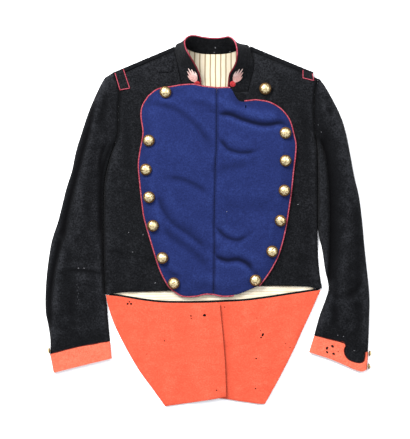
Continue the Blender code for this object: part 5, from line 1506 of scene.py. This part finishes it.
# %% Buttons
Button = namedtuple("Button", "name x y tilt_x tilt_y")
BUTTONS = (
    Button("right_button_1", -84, 248, 0, 0),
    Button("right_button_2", -116, 154, 0, -4),
    Button("right_button_3", -122, 98, 4, 0),
    Button("right_button_4", -116, 44, 0, 5),
    Button("right_button_5", -109, -11, 6, 12),
    Button("right_button_6", -90, -74, -4, 0),
    Button("right_button_7", -68, -123, 0, 4),
    Button("left_button_1", 110, 255, 0, 0),
    Button("left_button_2", 149, 169, 3, 0),
    Button("left_button_3", 149, 115, 0, 4),
    Button("left_button_4", 147, 57, -3, 0),
    Button("left_button_5", 140, -1, 8, -14),
    Button("left_button_6", 123, -61, 0, 4),
    Button("left_button_7", 91, -117, 4, 0),
)
CUFF_BUTTONS = (
    Button("right_cuff_button", -308.6, -254, 0, -72),
    Button("left_cuff_button_1", 311.6, -259.5, 0, 72),
    Button("left_cuff_button_2", 310.0, -285, 0, 72),
)
BUTTON_RADIUS = 11.4
CUFF_BUTTON_RADIUS = 6.0
PROFILE = ((0.20, 0.0), (0.20, 0.22), (0.80, 0.24), (0.95, 0.26), (1.0, 0.31), (1.0, 0.36),
           (0.95, 0.41), (0.90, 0.42), (0.87, 0.44), (0.82, 0.52), (0.76, 0.59), (0.73, 0.60),
           (0.70, 0.63), (0.6, 0.71), (0.48, 0.78), (0.34, 0.83), (0.18, 0.865))
CROWN = 0.87
SPIN = 40


def build_button(button, radius):
    """A domed button with a rolled rim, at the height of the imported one."""
    points = []
    for out, up in PROFILE:
        for k in range(SPIN):
            a = 2 * pi * k / SPIN
            points.append((radius * out * cos(a), radius * out * sin(a), radius * up))
    points.append((0, 0, radius * CROWN))
    rings = [list(range(k * SPIN, (k + 1) * SPIN)) for k in range(len(PROFILE))]
    faces = skin(rings) + [tuple(rings[0][::-1])]
    faces += [(rings[-1][k], rings[-1][(k + 1) % SPIN], len(points) - 1) for k in range(SPIN)]
    tilt = Matrix.Rotation(radians(button.tilt_x), 3, "X") @ Matrix.Rotation(
        radians(button.tilt_y), 3, "Y")
    spun = np.array(points) @ np.array(tilt).T
    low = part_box(button.name)[0][2] / MM
    spun += (button.x, button.y, low - spun[:, 2].min())
    # 0 on the outer rim as painted shade, low in the tarnished groove, rising with polish to the
    # crown
    polish_and_rim_shade = [0.0 if out > 0.93 else 0.15 if out > 0.84 else 0.34 if out > 0.72 else 0.46
              for out, _ in PROFILE]
    thing = add(button.name + "_gilt", spun, faces, gilt,
                worn=np.append(np.repeat(polish_and_rim_shade, SPIN), 0.46))
    stands_for(thing, button.name)
    return thing


for button in BUTTONS:
    build_button(button, BUTTON_RADIUS)
for button in CUFF_BUTTONS:
    build_button(button, CUFF_BUTTON_RADIUS)
print("buttons:", len(BUTTONS) + len(CUFF_BUTTONS))

# %% [markdown]
# ## Stitches
# Sewing shows as rows of short dents with a thread in each. Every stitch here is a small
# spindle that lies in the cloth, dropped onto it from above, so that it follows the folds.
# A coat has some 4 stitches a centimetre; a stitch is drawn about 2 mm long.

# %% Threads
STITCH_LENGTH = 2.0      # mm
STITCH_PITCH = 2.6       # mm, some 4 in a centimetre
def spindles(name, spots, length, radius, look, pieces, sunk=0.3):
    """Many small spindles in one mesh: each spot is (x, y, direction in degrees)."""
    points, faces = [], []
    heights = dropped([spot[:2] for spot in spots], pieces)
    for (x, y, turned), z in zip(spots, heights):
        start = len(points)
        way = np.array((cos(radians(turned)), sin(radians(turned)), 0.0))
        side = np.array((-way[1], way[0], 0.0))
        for along, wide in ((-0.5, 0.25), (-0.2, 1.0), (0.2, 1.0), (0.5, 0.25)):
            for k in range(6):
                a = 2 * pi * k / 6
                points.append(np.array((x, y, z + radius * (1 - 2 * sunk))) + along * length * way
                              + radius * wide * (cos(a) * side + sin(a) * np.array((0, 0, 1.0))))
        rings = [list(range(start + 6 * k, start + 6 * k + 6)) for k in range(4)]
        faces += skin(rings) + [rings[0][::-1], rings[-1]]
    piece = add(name, points, faces, look, worn=np.full(len(points), 0.5))
    trim(piece)


def along_seam(line, pitch=STITCH_PITCH):
    """A spot for every stitch of a seam line, with the seam's direction there."""
    path = smooth(line, pitch)
    way = np.degrees(np.arctan2(*np.gradient(path, axis=0).T[::-1]))
    return [(x, y, turned) for (x, y), turned in zip(path, way)][1:-1]


blue_thread = wool("blue_linen_thread", "#0a0e20", "#171f46", "#242f66", grain=1.2)
black_thread = wool("black_linen_thread", "#020203", "#08090a", "#141518", grain=1.2)
centre_line = LINES["plastron_centre"]
spindles("plastron_stitches", along_seam(beside(centre_line, -2.6)) + along_seam(
    beside(centre_line, 2.6)), STITCH_LENGTH, 0.35, blue_thread,
    [made["plastron_cloth_right"], made["plastron_cloth_left"]])
cloths = [made[side + part] for side in ("right", "left")
          for part in ("_front_cloth", "_sleeve_cloth")]
seams = [beside(LINES["right_armhole"], 2.2), beside(LINES["left_armhole"], -2.2),
         beside(LINES["right_shoulder_seam"], 2.0), beside(LINES["left_shoulder_seam"], -2.0)]
spindles("seam_stitches", [spot for seam in seams for spot in along_seam(seam)],
         STITCH_LENGTH, 0.3, black_thread, cloths)
print("stitch rows:", 2 + len(seams))

# %% [markdown]
# ## Lint
# Old wool gathers pale fluff, and chalk has been rubbed into the right sleeve. Each bit is a
# tuft of 1.6 to 5 mm, sunk a little into the cloth at a listed spot.

# %% Fluff
LINT = ((12.9, 335.3, 80, 5), (10.9, 326.4, 60, 2.6), (41.5, 328, 20, 3),
        (-155.6, -24.3, 30, 3), (-127.7, -28.6, 80, 3), (-148, -62.3, 10, 2.4),
        (-104.1, -122.4, 50, 4), (-253, -93.7, 5, 3.4), (-242.2, -93.7, 170, 3.2),
        (262.5, -226.7, 20, 2.6), (251.5, -224.3, 70, 2.2), (283.3, -254.4, 0, 3),
        (213, 185, 70, 1.6), (219, 171, 110, 2.2),
        (35, 16, 60, 2.6), (173.6, 30, 20, 3))
CHALK = ((-256, -126, 84, 4), (-253.5, -131, 96, 4), (-255.5, -137, 80, 5), (-253, -143, 92, 4),
         (-255, -149, 88, 5), (-252.5, -155, 85, 4), (-254.5, -162, 95, 4))
fluff = wool("pale_wool_fluff", "#3a3a3c", "#77777a", "#a0a0a2", grain=1.2)
chalk = wool("rubbed_chalk", "#161719", "#2c2d30", "#4a4b4e", grain=1.4)
on_top = list(made.values())
for name, tufts, look, radius in (("lint", LINT, fluff, 0.8), ("chalk_marks", CHALK, chalk, 1.1)):
    for length in sorted({tuft[3] for tuft in tufts}):
        spots = [tuft[:3] for tuft in tufts if tuft[3] == length]
        spindles(f"{name}_{length * 10:.0f}", spots, length, radius, look, on_top, 0.75)
print("tufts:", len(LINT) + len(CHALK))

# %% [markdown]
# ## Cut sizes of the cloth
# Every piece rides on the coat's one body. Each cut piece has the size that a tailor would cut
# it to, and its area is printed beside half the surface area of the piece made here. The sizes
# were read from the same outlines that the model is cut to.

# %% Cut sizes
Cut = namedtuple("Cut", "piece width length area rests_on trims")   # mm, mm, square cm
CUTS = (
    Cut("back_cloth", 430, 505, 1950, (), ("waist_strip",)),
    Cut("neck_ticking", 145, 165, 205, ("back_cloth",), ()),
    Cut("waist_ticking", 392, 50, 146, ("back_cloth",), ()),
    Cut("right_front_cloth", 205, 475, 815, ("back_cloth",),
        ("right_loop_cloth", "right_loop_cord", "mended_patch", "right_button_1_gilt")),
    Cut("left_front_cloth", 220, 470, 855, ("back_cloth",),
        ("left_loop_cloth", "left_loop_cord", "left_button_1_gilt")),
    Cut("right_sleeve_cloth", 150, 582, 555, ("right_under_sleeve_cloth",), ()),
    Cut("left_sleeve_cloth", 122, 570, 478, ("left_under_sleeve_cloth",), ()),
    Cut("right_under_sleeve_cloth", 138, 527, 385, (), ()),
    Cut("left_under_sleeve_cloth", 101, 511, 312, (), ()),
    Cut("right_cuff_cloth", 240, 42, 89, (),
        ("right_cuff_button_gilt", "right_cuff_shadow_cord")),
    Cut("left_cuff_cloth", 240, 42, 80, (),
        ("left_cuff_button_1_gilt", "left_cuff_button_2_gilt", "left_cuff_shadow_cord")),
    Cut("right_tail_cloth", 235, 217, 364, ("left_tail_red_lining",), ()),
    Cut("right_tail_red_lining", 235, 217, 361, ("right_tail_cloth",), ()),
    Cut("left_tail_cloth", 216, 222, 324, (), ()),
    Cut("left_tail_red_lining", 216, 222, 321, ("left_tail_cloth",), ()),
    Cut("plastron_cloth_right", 152, 411, 535, ("right_front_cloth",),
        ("right_plastron_cord",) + tuple(f"right_button_{k}_gilt" for k in range(2, 8))),
    Cut("plastron_cloth_left", 159, 404, 520, ("left_front_cloth",),
        ("left_plastron_cord",) + tuple(f"left_button_{k}_gilt" for k in range(2, 8))),
    Cut("collar_cloth", 400, 45, 137, ("back_cloth", "right_front_cloth", "left_front_cloth"),
        ("collar_cord", "right_collar_ball", "right_collar_flame", "left_collar_ball",
         "left_collar_flame")),
)
for cut in CUTS:
    half_skin = sum(face.area for face in made[cut.piece].data.polygons) / 2
    print(f"{cut.piece:26s} cut {cut.width} x {cut.length} mm, {cut.area} square cm, "
          f"made {half_skin * 1e4:.0f}")
